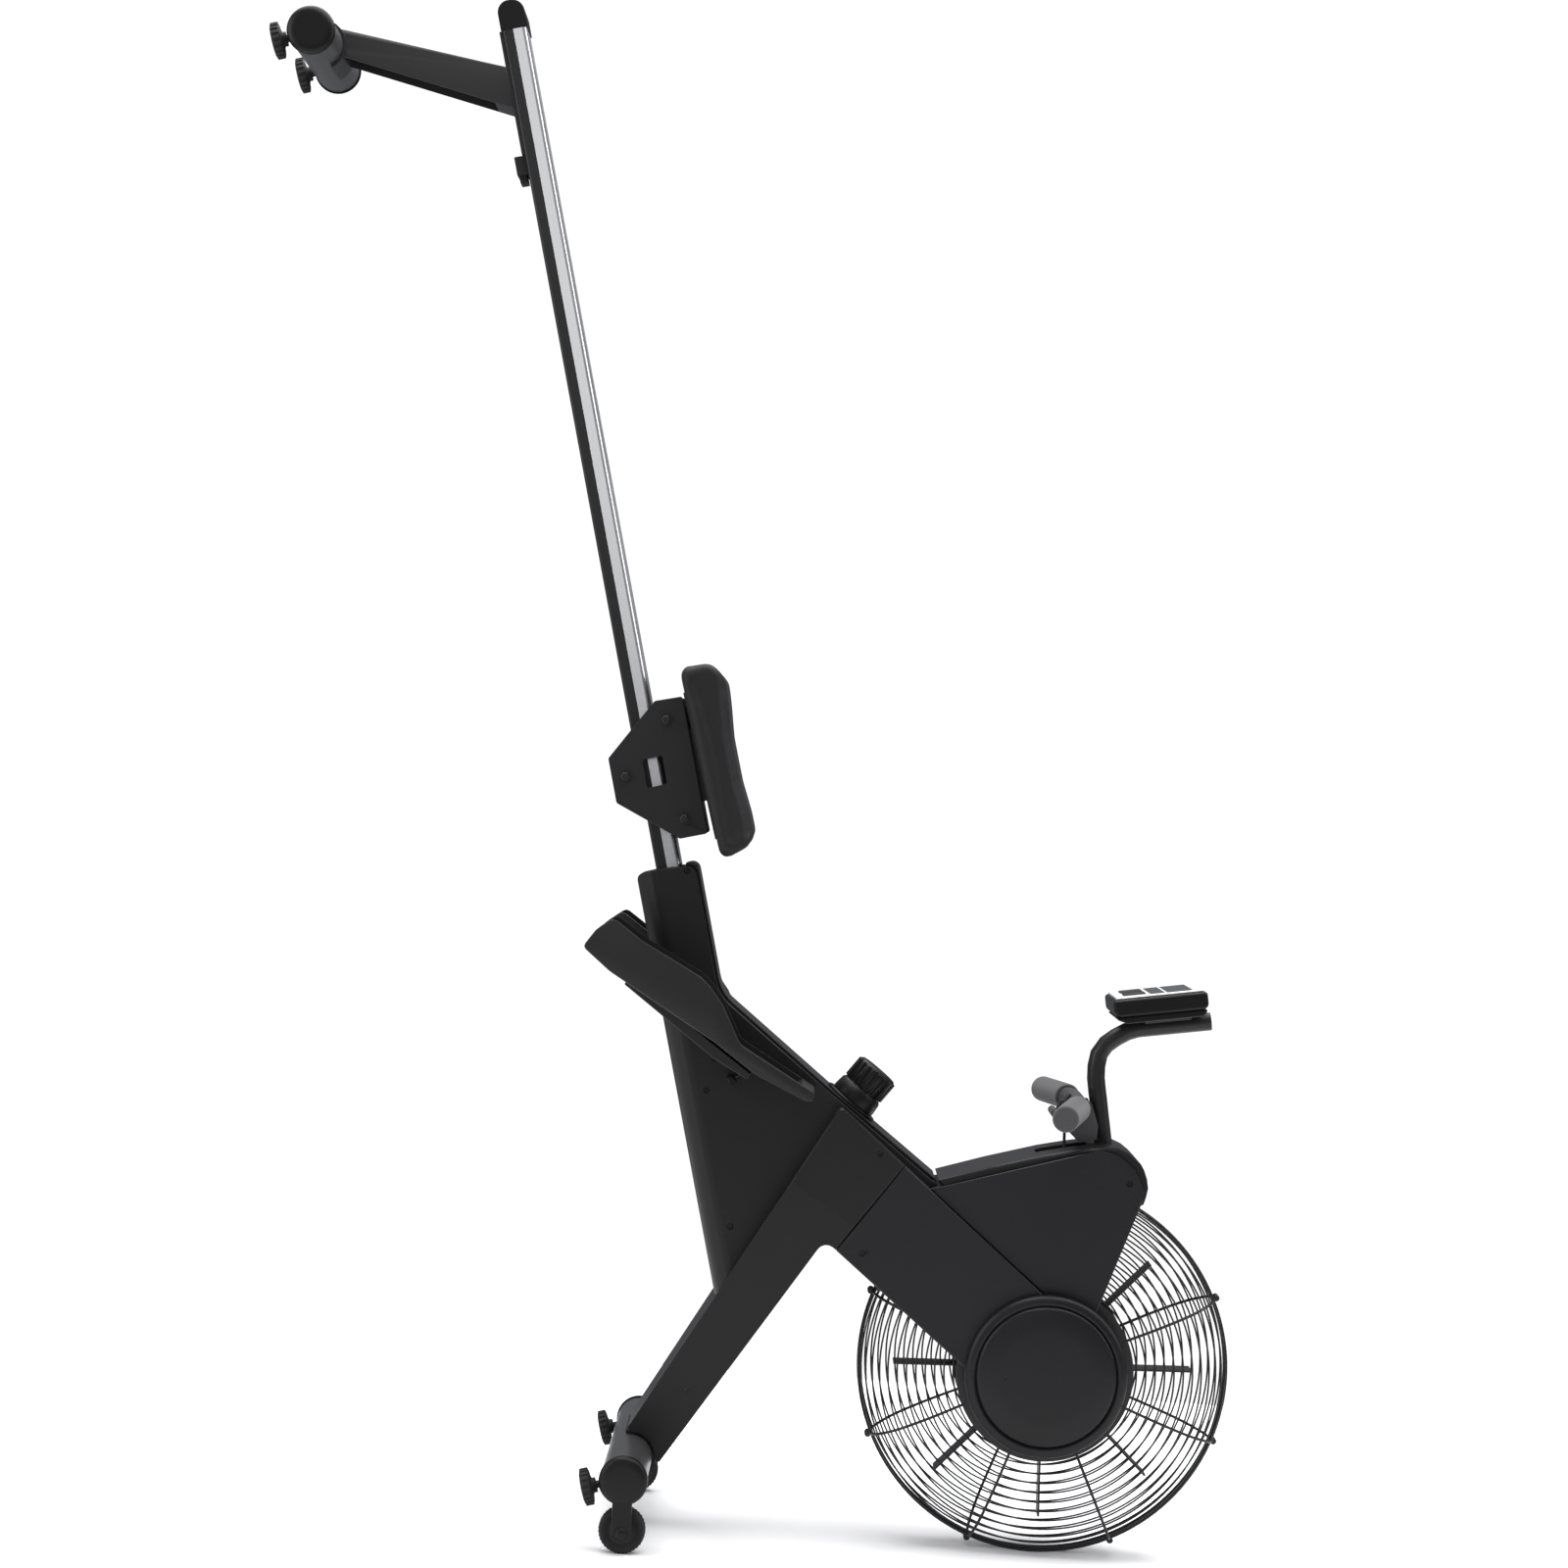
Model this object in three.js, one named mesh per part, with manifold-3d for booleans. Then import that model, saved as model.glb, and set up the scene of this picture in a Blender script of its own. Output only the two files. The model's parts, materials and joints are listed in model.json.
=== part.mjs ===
// Air and magnet rowing machine, stored upright on its two transport wheels and its fan cage.
// Every piece is drawn as the machine is used: x forward, y to the rower's left, z up,
// with zero on the floor under the front crossbar. The whole group is then tipped upright.
import * as THREE from "three";
import { mergeVertices } from "three/addons/utils/BufferGeometryUtils.js";
import Module from "manifold-3d";

const wasm = await Module();
wasm.setup();

// Driving dimensions, in millimetres and degrees.
const GAP = 0.3;
const railLength = 1157;
const railCapReach = 40;
const railWidth = 84;
const railHeight = 34;
const railSlope = 1.913;
const trackHeight = 19;
const cageRadius = 255;
const cageHalfDepth = 72.5;
const fanRadius = 205;
const paddleHalf = 20;
const hubRadius = 110;
const crossbarRadius = 30.5;
const frontCrossbarHalf = 240;
const rearCrossbarHalf = 152;
const wheelRadius = 31;
const wheelWidth = 24;
const footRadius = 25;
const footHeight = 13;
const seatHalfWidth = 132;
const rollerRadius = 17.2;
const gripRadius = 18;
const gripLength = 140;
const handleBarRadius = 14;
const strapWidth = 25;
const strapThickness = 2.4;
const drumRadius = 40;
const guideRadius = 9;
const knobRadius = 31;
const consoleWidth = 150;
const consoleHeight = 129;
const consoleDepth = 24;
const footPlateWidth = 112;
const bodyHalf = 58;
const boomHalf = 88;
const armHalf = 80;
const legFootHalf = 62;
const wall = 4;

// Places in the side view, as [x, z].
const railStart = [-782, 262];
const fanCentre = [9, 633];
const drumCentre = [-294, 440];
const guideCentre = [-262, 714];
const frontBar = [0, 56.3];
const rearBar = [-1972, 54.6];
const wheelCentre = [66, 39];
const handleCentre = [-333, 757];
const knobBase = [-403, 456];
const consoleCentre = [-447, 894.5];

// Materials.
function finish(color, roughness, metalness) {
  return { color, roughness, metalness };
}
const blackPlastic = finish(0x1c1c1d, 0.55, 0);
const charcoalPanel = finish(0x29292b, 0.5, 0);
const blackSteel = finish(0x161617, 0.4, 0.3);
const greySteel = finish(0x3a3a3c, 0.4, 0.4);
const brushedSteel = finish(0xb9babd, 0.35, 0.9);
const blackRubber = finish(0x121212, 0.8, 0);
const greyFoam = finish(0x505052, 0.9, 0);
const seatSkin = finish(0x141414, 0.6, 0);
const webbing = finish(0x202020, 0.9, 0);
const silverFace = finish(0xd8d8da, 0.4, 0);
const zinc = finish(0x8d8f92, 0.4, 0.8);

const machine = new THREE.Group();
machine.name = "rowing_machine";

// A closed outward solid from any three.js geometry.
function solid(geometry) {
  geometry.deleteAttribute("normal");
  geometry.deleteAttribute("uv");
  const merged = mergeVertices(geometry, 1e-4);
  const index = merged.index.array;
  const kept = [];
  for (let i = 0; i < index.length; i += 3) {
    const [a, b, c] = [index[i], index[i + 1], index[i + 2]];
    if (a !== b && b !== c && a !== c) kept.push(a, b, c);
  }
  const vertProperties = merged.attributes.position.array;
  const make = (list) =>
    new wasm.Manifold(new wasm.Mesh({ numProp: 3, vertProperties, triVerts: new Uint32Array(list) }));
  const made = make(kept);
  return made.volume() < 0 ? make(kept.reverse()) : made;
}

function join(...parts) {
  return parts.reduce((sum, part) => sum.add(part));
}

function cut(body, ...tools) {
  return tools.reduce((left, tool) => left.subtract(tool), body);
}

// Adds one named mesh to the machine.
function piece(name, made, look) {
  const { vertProperties, triVerts } = made.getMesh();
  const geometry = new THREE.BufferGeometry();
  geometry.setAttribute("position", new THREE.BufferAttribute(new Float32Array(vertProperties), 3));
  geometry.setIndex(new THREE.BufferAttribute(new Uint32Array(triVerts), 1));
  geometry.computeVertexNormals();
  const mesh = new THREE.Mesh(geometry, new THREE.MeshStandardMaterial(look));
  mesh.name = name;
  machine.add(mesh);
}

// The same piece on the rower's right (y below 0) and, mirrored, on the left.
function pair(name, right, look) {
  piece(name + "_right", right, look);
  piece(name + "_left", right.mirror([0, 1, 0]), look);
}

// An outline whose corners [x, z, radius] are rounded.
function roundCorners(corners, steps = 5) {
  const outline = [];
  corners.forEach(([x, z, radius = 0], i) => {
    const corner = new THREE.Vector2(x, z);
    if (!radius) {
      outline.push(corner);
      return;
    }
    const last = corners[(i + corners.length - 1) % corners.length];
    const next = corners[(i + 1) % corners.length];
    const back = new THREE.Vector2(last[0], last[1]).sub(corner).normalize();
    const ahead = new THREE.Vector2(next[0], next[1]).sub(corner).normalize();
    const half = Math.acos(THREE.MathUtils.clamp(back.dot(ahead), -1, 1)) / 2;
    const reach = radius / Math.tan(half);
    const middle = back.clone().add(ahead).normalize();
    const centre = corner.clone().addScaledVector(middle, radius / Math.sin(half));
    const start = corner.clone().addScaledVector(back, reach).sub(centre);
    const end = corner.clone().addScaledVector(ahead, reach).sub(centre);
    const turn = Math.atan2(start.cross(end), start.dot(end));
    for (let k = 0; k <= steps; k++) {
      const spoke = start.clone().rotateAround(new THREE.Vector2(), (turn * k) / steps);
      outline.push(spoke.add(centre));
    }
  });
  return outline;
}

// A line of corners moved sideways; a positive distance is to the left of its direction.
function beside(corners, distance) {
  return corners.map(([x, z, radius = 0], i) => {
    const here = new THREE.Vector2(x, z);
    const ways = [];
    if (i > 0) ways.push(here.clone().sub(new THREE.Vector2(...corners[i - 1])).normalize());
    if (i < corners.length - 1) {
      ways.push(new THREE.Vector2(...corners[i + 1]).sub(here).normalize());
    }
    const way = ways.reduce((sum, w) => sum.add(w), new THREE.Vector2()).normalize();
    const stretch = distance / way.dot(ways[0]);
    return [x - way.y * stretch, z + way.x * stretch, radius];
  });
}

// A plate with the side outline given, from y = low to y = high, with rounded edges.
function panel(corners, low, high, { round = 0, grow = 0, steps = 4 } = {}) {
  const body = new THREE.ExtrudeGeometry(new THREE.Shape(roundCorners(corners, steps)), {
    depth: high - low - 2 * round,
    bevelEnabled: round > 0 || grow !== 0,
    bevelThickness: round,
    bevelSize: round,
    bevelOffset: grow - round,
    bevelSegments: round > 1 ? 2 : 1,
    steps: 1,
  });
  body.rotateX(Math.PI / 2);
  body.translate(0, high - round, 0);
  return solid(body);
}

// A block between two opposite corners.
function block(low, high) {
  const corners = [[low[0], low[2]], [high[0], low[2]], [high[0], high[2]], [low[0], high[2]]];
  return panel(corners, low[1], high[1]);
}

// A turned solid: profile [radius, distance] along an axis from a base point.
function turned(profile, base, axis, segments = 20) {
  const points = profile.map(([radius, along]) => new THREE.Vector2(radius, along));
  const body = new THREE.LatheGeometry(points, segments);
  const way = new THREE.Vector3(...axis).normalize();
  body.applyQuaternion(new THREE.Quaternion().setFromUnitVectors(new THREE.Vector3(0, 1, 0), way));
  body.translate(...base);
  return solid(body);
}

// A rod between two distances along an axis.
function rod(radius, base, axis, from, to, segments = 20) {
  return turned([[0, from], [radius, from], [radius, to], [0, to]], base, axis, segments);
}

// A rod lying across the machine, through the side-view point given.
function crossRod(radius, [x, z], from, to, segments = 20) {
  return rod(radius, [x, 0, z], [0, 1, 0], from, to, segments);
}

// A pipe lying across the machine.
function crossPipe(outer, inner, [x, z], from, to, segments = 24) {
  const ring = [[inner, from], [outer, from], [outer, to], [inner, to], [inner, from]];
  return turned(ring, [x, 0, z], [0, 1, 0], segments);
}

// A round or flat section drawn along a smooth path.
function drawn(section, path, steps) {
  const points = path.map((p) => new THREE.Vector3(...p));
  const curve = new THREE.CatmullRomCurve3(points, false, "centripetal");
  return solid(new THREE.ExtrudeGeometry(section, { extrudePath: curve, steps, curveSegments: 7 }));
}

function disc(radius) {
  return new THREE.Shape().absarc(0, 0, radius, 0, 2 * Math.PI);
}

// Tips a solid that was drawn on the rail: x forward along it, z up from its underside.
const railTip = new THREE.Matrix4()
  .makeRotationY(THREE.MathUtils.degToRad(railSlope))
  .setPosition(railStart[0], 0, railStart[1]);
function onRail(made) {
  return made.transform(railTip.elements);
}

function railPoint(back, up) {
  const at = new THREE.Vector3(-back, 0, up).applyMatrix4(railTip);
  return [at.x, at.z];
}

// ---------------------------------------------------------------- outlines of the body
// The boom's upper edge, from the foot end towards the fan.
const boomSlope = 0.694;
function boomTop(x) {
  return 400 + boomSlope * (x + 463);
}
const trimLine = [
  [-772.5, 303],
  [-772.5, 319.5, 11],
  [-589.7, 313.3, 60],
  [-435, 426.2],
  [-279.6, 544],
];
const trimSink = 3.6;
const bodyTop = beside(trimLine, -trimSink);
const crotch = [-233.8, 379.2];
const bodyOutline = [
  [-772, 233, 10],
  [-772, 284],
  [-769, 300],
  ...bodyTop.slice(1, 4),
  [-270.6, 545.5],
  [-270.6, boomTop(-270.6) - GAP],
  [-150, boomTop(-150) - GAP],
  [-100, 560],
  [-130, 452.9],
  [-216, 391.8],
  [crotch[0], crotch[1]],
  [-186, 215],
];
const bodyHollow = [
  [-768, 237.2, 6],
  [-768, 300],
  [-760, 311, 8],
  ...beside(trimLine, -trimSink - wall).slice(2, 4),
  [-274, 540],
  [-274, 536],
  [-269, boomTop(-269) - 4.5],
  [-150, boomTop(-150) - 4.5],
  [-100, 550],
  [-130, 458],
  [-218, 396.2],
  [-229, 380.5],
  [-190, 219],
];
const legOutline = [
  [-39, 62, 3],
  [-186, 214, 60],
  [-242, 270],
  [-406, boomTop(-406), 6],
  [-309, boomTop(-309)],
  [-217.8, 391.3],
  [crotch[0], crotch[1], 14],
  [17, 93, 3],
];
const boomOutline = [
  [-308.4, boomTop(-308.4)],
  [-97, boomTop(-97)],
  [9, 680],
  [20, 560],
  [-6, 541],
  [-216.6, 391.9],
];
const armPoints = [
  [-272, 735],
  [-271.5, 762],
  [-267, 781],
  [-255, 798],
  [-233, 812.5],
  [-207, 817],
  [-187, 808.7],
];
const armCurve = new THREE.SplineCurve(armPoints.map(([x, z]) => new THREE.Vector2(x, z)));
const armOutline = [
  [-269.6, boomTop(-269.6) + 2 * GAP],
  [-271, 640],
  ...armCurve.getPoints(14).map((p) => [p.x, p.y]),
  [-62, 722],
  [-30, 690],
  [-95, boomTop(-95) + 2 * GAP],
];

// The room the cage needs between the two sides of the boom.
const cageRoom = crossRod(cageRadius + 3, fanCentre, -cageHalfDepth - 1.5, cageHalfDepth + 1.5, 60);
const strapRoom = block([-264.5, -19, 478], [-243, 19, 770]);
const slotRoom = block([-300, -20, 687], [-255, 20, 758]);
const railRoom = onRail(
  block([-20, -railWidth / 2 - 1, -1], [140, railWidth / 2 + 1, railHeight + 1]),
);

// ---------------------------------------------------------------- body covers
// The covers' lower edges are rounded along their length, and so is the room inside them.
function lowerRounding(inset, steps) {
  const radius = 33 - inset;
  const edge = -bodyHalf + inset;
  const section = new THREE.Shape(
    roundCorners([[edge, inset, radius], [10, inset], [10, 420], [edge, 420]], steps),
  );
  const body = new THREE.ExtrudeGeometry(section, { depth: 760, bevelEnabled: false, steps: 1 });
  const axes = [new THREE.Vector3(0, 1, 0), new THREE.Vector3(0, 0, 1), new THREE.Vector3(1, 0, 0)];
  body.applyMatrix4(new THREE.Matrix4().makeBasis(...axes));
  body.rotateY(THREE.MathUtils.degToRad(1.85));
  body.translate(-776, 0, 233);
  return solid(body);
}

function bodyCover() {
  const outer = panel(bodyOutline, -bodyHalf, -GAP / 2, { round: 2.5 });
  const inner = panel(bodyHollow, -bodyHalf + wall, 5).intersect(lowerRounding(wall, 3));
  const drumBoss = crossRod(11, drumCentre, -bodyHalf + 2, -50);
  const shell = join(cut(outer.intersect(lowerRounding(0, 5)), inner), drumBoss);
  const screws = [[-762, 303], [-464, 265], [-276, 257]].map((at) =>
    crossRod(4.5, at, -bodyHalf - 1, -bodyHalf + 2.4, 8),
  );
  const axleBore = crossRod(6.3, drumCentre, -54, -40, 24);
  const flatEnd = block([-790, -40, 262], [-768, 1, 300]);
  const [x, z] = [-563, 245];
  const plateScrews = [[x, z], [x + 60, z + 40]].map((at) =>
    crossRod(3.2, at, -bodyHalf - 1, -bodyHalf + 2, 8),
  );
  return cut(shell, cageRoom, strapRoom, railRoom, flatEnd, axleBore, ...screws, ...plateScrews);
}
pair("body_cover", bodyCover(), charcoalPanel);

const trimBand = [...trimLine, ...beside(trimLine, GAP - trimSink).reverse()];
piece("post_trim", panel(trimBand, -50, 50, { round: 1.2, steps: 6 }), charcoalPanel);

// ---------------------------------------------------------------- leg
// The leg narrows from the boom's width at the top to legFootHalf at the crossbar.
function legFlank() {
  const wide = new THREE.Shape();
  wide.moveTo(-120, -legFootHalf + 3);
  wide.lineTo(430, -boomHalf - 1);
  wide.lineTo(430, -130);
  wide.lineTo(-120, -130);
  const body = new THREE.ExtrudeGeometry(wide, { depth: 500, bevelEnabled: false, steps: 1 });
  const along = new THREE.Vector3(-0.654, 0, 0.756);
  const across = new THREE.Vector3(0, 1, 0);
  const third = along.clone().cross(across);
  body.translate(0, 0, -250);
  body.applyMatrix4(new THREE.Matrix4().makeBasis(along, across, third));
  body.translate(-11, 0, 78);
  return solid(body);
}

// The saddle under the leg holds the front crossbar.
function frontSaddle() {
  const ring = crossPipe(crossbarRadius + 5.2, crossbarRadius + GAP, frontBar, -58, 58);
  const keep = block([-60, -70, frontBar[1] + 2], [60, 70, frontBar[1] + 60]);
  return ring.intersect(keep);
}

function legBeam() {
  const whole = panel(legOutline, -boomHalf, boomHalf, { round: 2.5 });
  const bodyRoom = panel(bodyOutline, -bodyHalf - GAP, bodyHalf + GAP, { grow: GAP });
  const flank = legFlank();
  const barRoom = crossRod(crossbarRadius + 4.6, frontBar, -100, 100, 28);
  const screws = [[-73, 154], [-206, 433], [-332, 478]].map((at) =>
    crossRod(4.5, at, -100, -boomHalf + 2, 8),
  );
  const leg = cut(whole, bodyRoom, flank, flank.mirror([0, 1, 0]), barRoom, cageRoom, ...screws);
  return join(leg, frontSaddle());
}
piece("leg_beam", legBeam(), charcoalPanel);

// ---------------------------------------------------------------- boom sides
function boomCover() {
  const band = panel(boomOutline, -boomHalf, -bodyHalf - GAP, { round: 2.5 });
  const cheek = crossRod(hubRadius - 5, fanCentre, -boomHalf + 0.5, -cageHalfDepth - 1.8, 30);
  const axleHole = crossRod(8.4, fanCentre, -100, -60, 20);
  const screw = crossRod(4.5, [-206, 425], -100, -boomHalf + 2.4, 8);
  return cut(join(band, cheek), cageRoom, axleHole, screw);
}
pair("boom_cover", boomCover(), charcoalPanel);

// ---------------------------------------------------------------- arm
function armCover() {
  const outer = panel(armOutline, -armHalf, -GAP / 2, { round: 2.5, steps: 3 });
  const inner = panel(armOutline, -armHalf + wall + 1, 5, { grow: -wall - 1, steps: 3 });
  const boss = crossRod(5.6, guideCentre, -armHalf + 3, -20, 14);
  const bore = crossRod(3.4, guideCentre, -34, -10, 14);
  const cheekRoom = crossRod(hubRadius - 4.4, fanCentre, -100, 0, 30);
  const shell = cut(outer, inner);
  const screw = crossRod(4.5, [-219, 800], -100, -armHalf + 2.4, 8);
  const closed = cut(shell, cageRoom, cheekRoom, strapRoom, slotRoom);
  return cut(join(closed, boss), bore, screw);
}
pair("arm_cover", armCover(), charcoalPanel);

const armTrimPoints = [
  [-281.5, 694],
  [-277.3, 756.6],
  [-268.7, 796],
  [-248.2, 816.9],
  [-230.8, 824.2],
  [-206, 824],
  [-186, 813],
];
const armTrimCurve = new THREE.SplineCurve(armTrimPoints.map(([x, z]) => new THREE.Vector2(x, z)));
const armTrimOuter = [
  [-279.3, 547.5],
  [-281.5, 620],
  ...armTrimCurve.getPoints(12).map((p) => [p.x, p.y]),
];
function armTrim() {
  const outline = [...armTrimOuter, [-160, 700], [-240, 640], [-262, boomTop(-262) + 14]];
  const whole = panel(outline, -72, 72, { round: 4.5, steps: 3 });
  const room = panel(armOutline, -armHalf - 5, armHalf + 5, { grow: GAP, steps: 3 });
  const postRoom = block([-300, -80, 500], [-266, 80, 548]);
  const left = cut(whole, room, postRoom, slotRoom);
  return left.decompose().sort((a, b) => b.volume() - a.volume())[0];
}
piece("arm_trim", armTrim(), charcoalPanel);

// ---------------------------------------------------------------- hub covers
const hubProfile = [
  [0, 11],
  [hubRadius - 20, 11],
  [hubRadius - 16, 0],
  [hubRadius, 0],
  [hubRadius, 9],
  [hubRadius - 4, 14],
  [hubRadius - 12, 15.5],
  [hubRadius - 14, 12.5],
  [hubRadius - 17, 17],
  [hubRadius - 21, 18.7],
  [0, 18.7],
];
const hubPlace = [fanCentre[0], -boomHalf - GAP, fanCentre[1]];
pair("hub_cover", turned(hubProfile, hubPlace, [0, -1, 0], 24), blackPlastic);

// ---------------------------------------------------------------- fan cage
// Distance from the middle plane of the cage wires at each radius.
const cageLine = [
  [112, 64],
  [165, cageHalfDepth - 3],
  [213, 63],
  [241, 42],
  [cageRadius - 2.6, 20],
  [cageRadius - 2.6, 3.4],
];
const wireRadius = 2.3;

function cageRing(radius, out) {
  const w = wireRadius;
  const wire = [[radius - w, out], [radius, out - w], [radius + w, out], [radius, out + w], [radius - w, out]];
  return turned(wire, [fanCentre[0], 0, fanCentre[1]], [0, -1, 0], 24);
}

function cageSpoke(angle) {
  const way = [Math.cos(angle), Math.sin(angle)];
  const path = cageLine.map(([radius, out]) => [
    fanCentre[0] + radius * way[0],
    -out,
    fanCentre[1] + radius * way[1],
  ]);
  const corners = [[2, 0], [0, 2], [-2, 0], [0, -2]];
  const square = new THREE.Shape(corners.map(([x, y]) => new THREE.Vector2(x, y)));
  return drawn(square, path, 4);
}

function cageShell() {
  const plate = crossPipe(121, 30, fanCentre, -66, -62.5, 16);
  const rings = [cageLine[1], cageLine[2], cageLine[5]].map(([radius, out]) => cageRing(radius, out));
  const spokes = Array.from({ length: 8 }, (_, k) => cageSpoke(((k * 45 + 8.9) * Math.PI) / 180));
  return join(plate, ...rings, ...spokes);
}
pair("cage_shell", cageShell(), blackSteel);

// ---------------------------------------------------------------- fan and its axle
function fanWheel() {
  const hub = crossRod(52, fanCentre, -50, 50, 24);
  const paddle = block(
    [fanCentre[0] - 1.5, -paddleHalf, fanCentre[1] + 40],
    [fanCentre[0] + 1.5, paddleHalf, fanCentre[1] + fanRadius],
  );
  const paddles = Array.from({ length: 8 }, (_, k) =>
    paddle
      .translate([-fanCentre[0], 0, -fanCentre[1]])
      .rotate([0, 14 + 45 * k, 0])
      .translate([fanCentre[0], 0, fanCentre[1]]),
  );
  const sideRoom = [-1, 1].map((side) =>
    crossRod(44, fanCentre, Math.min(side * 36, side * 60), Math.max(side * 36, side * 60), 24),
  );
  const bore = crossRod(8.4, fanCentre, -60, 60, 20);
  return cut(join(hub, ...paddles), ...sideRoom, bore);
}
piece("fan_wheel", fanWheel(), blackSteel);
const axleRod = crossRod(8, fanCentre, -boomHalf - 6, boomHalf + 6);
const leftNut = crossRod(13, fanCentre, boomHalf + GAP, boomHalf + 9, 6);
const rightNut = crossRod(13, fanCentre, -boomHalf - 9, -boomHalf - GAP, 6);
piece("fan_axle", join(axleRod, leftNut, rightNut), zinc);

// ---------------------------------------------------------------- strap drive
const strapHalf = strapWidth / 2;
function strapDrum() {
  const core = crossPipe(drumRadius - strapThickness - GAP, 6.4, drumCentre, -strapHalf - 3, 38, 20);
  const flange = crossPipe(drumRadius + 6, 6.4, drumCentre, -strapHalf - 3, -strapHalf - 1, 20);
  const farFlange = crossPipe(drumRadius + 6, 6.4, drumCentre, strapHalf + 1, strapHalf + 3, 20);
  const brakeDisc = crossPipe(drumRadius + 14, 6.4, drumCentre, 27, 31, 20);
  return join(core, flange, farFlange, brakeDisc);
}
piece("strap_drum", strapDrum(), zinc);

const cassette = join(
  crossRod(6, drumCentre, -53, 53, 24),
  crossRod(drumRadius - 2, drumCentre, -46, -20, 24),
);
piece("spring_cassette", cassette, blackSteel);

const guideProfile = [
  [0, -24],
  [3, -24],
  [3, -17.5],
  [guideRadius + 2, -17.5],
  [guideRadius + 2, -15],
  [guideRadius, -14.5],
  [guideRadius, 14.5],
  [guideRadius + 2, 15],
  [guideRadius + 2, 17.5],
  [3, 17.5],
  [3, 24],
  [0, 24],
];
piece("guide_roller", turned(guideProfile, [guideCentre[0], 0, guideCentre[1]], [0, 1, 0], 16), zinc);

// Half of the strap's thickness either side of its middle line, with a small gap to each roller.
const strapRide = strapThickness / 2 + GAP;
function arc([x, z], radius, from, to, steps) {
  return Array.from({ length: steps + 1 }, (_, k) => {
    const angle = ((from + ((to - from) * k) / steps) * Math.PI) / 180;
    return [x + radius * Math.cos(angle), z + radius * Math.sin(angle)];
  });
}

// The strap: round the handle bar, through the slot, over the guide roller and onto the drum.
function pullStrap() {
  const line = [
    ...arc(handleCentre, handleBarRadius + strapRide, 200, 254, 4),
    ...arc(guideCentre, guideRadius + strapRide, 106, 0, 6),
    ...arc(drumCentre, drumRadius - strapThickness / 2, 0, -300, 22),
  ];
  const near = beside(line, strapThickness / 2);
  const far = beside(line, -strapThickness / 2);
  return panel([...near, ...far.reverse()], -strapHalf, strapHalf);
}
piece("pull_strap", pullStrap(), webbing);

// The magnets' bracket straddles the brake disc and swings on a pin at its lower end.
const magnetPin = [drumCentre[0] - 28, drumCentre[1] - 58];
function magnetBracket() {
  const inner = arc(drumCentre, drumRadius - 2, 248, 196, 6);
  const rim = arc(drumCentre, drumRadius + 17, 196, 248, 6);
  const outer = arc(drumCentre, drumRadius + 25, 196, 248, 6);
  const cheek = [...inner, ...outer];
  const bridge = [...arc(drumCentre, drumRadius + 17, 248, 196, 6), ...outer];
  const lowCheek = panel(cheek, 21, 25);
  const highCheek = panel(cheek, 33, 37);
  const back = panel(bridge, 21, 37);
  const boss = crossRod(7, magnetPin, 21, 37, 14);
  return cut(join(lowCheek, highCheek, back, boss), crossRod(3.4, magnetPin, 0, 60, 14));
}
piece("magnet_bracket", magnetBracket(), zinc);

// ---------------------------------------------------------------- inner steel frame
const frameOutline = [
  [-655, 242],
  [-655, 297],
  [-592, 299],
  [-437, 407],
  [-345, 474],
  [-262, 400],
  [-243, 370],
  [-205, 226],
];
function mainFrame() {
  const plate = panel(frameOutline, -7, 7);
  const drumRoom = crossRod(drumRadius + 28, drumCentre, -10, 10, 28);
  const pin = crossRod(3, magnetPin, -7, 40, 24);
  const seat = block([-655, -30, 244], [-640, 30, 292]);
  return join(cut(plate, drumRoom), seat, pin, block([-335, -7, 370], [-312, 7, 392]));
}
piece("main_frame", mainFrame(), blackSteel);

// ---------------------------------------------------------------- rail
const tubeHeight = railHeight - trackHeight;
function railBar(corners, from, to) {
  const section = new THREE.Shape(roundCorners(corners, 4));
  const body = new THREE.ExtrudeGeometry(section, { depth: to - from, bevelEnabled: false, steps: 1 });
  const axes = [new THREE.Vector3(0, 1, 0), new THREE.Vector3(0, 0, 1), new THREE.Vector3(1, 0, 0)];
  body.applyMatrix4(new THREE.Matrix4().makeBasis(...axes));
  body.translate(-to, 0, 0);
  return onRail(solid(body));
}
const railIn = -120;
const side = railWidth / 2;
function railTube() {
  const outer = [[-side, 0, 4], [side, 0, 4], [side, tubeHeight], [-side, tubeHeight]];
  const hollow = [
    [-side + 2.5, 2.5, 2],
    [side - 2.5, 2.5, 2],
    [side - 2.5, tubeHeight - 2.5],
    [-side + 2.5, tubeHeight - 2.5],
  ];
  return cut(railBar(outer, railIn, railLength), railBar(hollow, railIn - 5, railLength + 5));
}
piece("rail_tube", railTube(), blackSteel);

function railTrack() {
  const low = tubeHeight + GAP;
  const outer = [[-side, low], [side, low], [side, railHeight, 6], [-side, railHeight, 6]];
  const hollow = [
    [-side + 3, low - 5],
    [side - 3, low - 5],
    [side - 3, railHeight - 3, 3],
    [-side + 3, railHeight - 3, 3],
  ];
  return cut(railBar(outer, railIn, railLength), railBar(hollow, railIn - 5, railLength + 5));
}
piece("rail_track", railTrack(), brushedSteel);

function railCap() {
  const grown = 1.5;
  const high = railHeight + grown;
  const outline = [
    [-railLength - GAP, -grown],
    [-railLength - GAP, high],
    [-railLength - railCapReach, high, 17],
    [-railLength - railCapReach, -grown, 17],
  ];
  const plug = block([-railLength - 3, -side + 4, 4], [-railLength + 14, side - 4, tubeHeight - 4]);
  const dome = panel(outline, -side - grown, side + grown, { round: 1.4, steps: 8 });
  return onRail(join(dome, plug));
}
piece("rail_end_cap", railCap(), blackPlastic);

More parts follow.
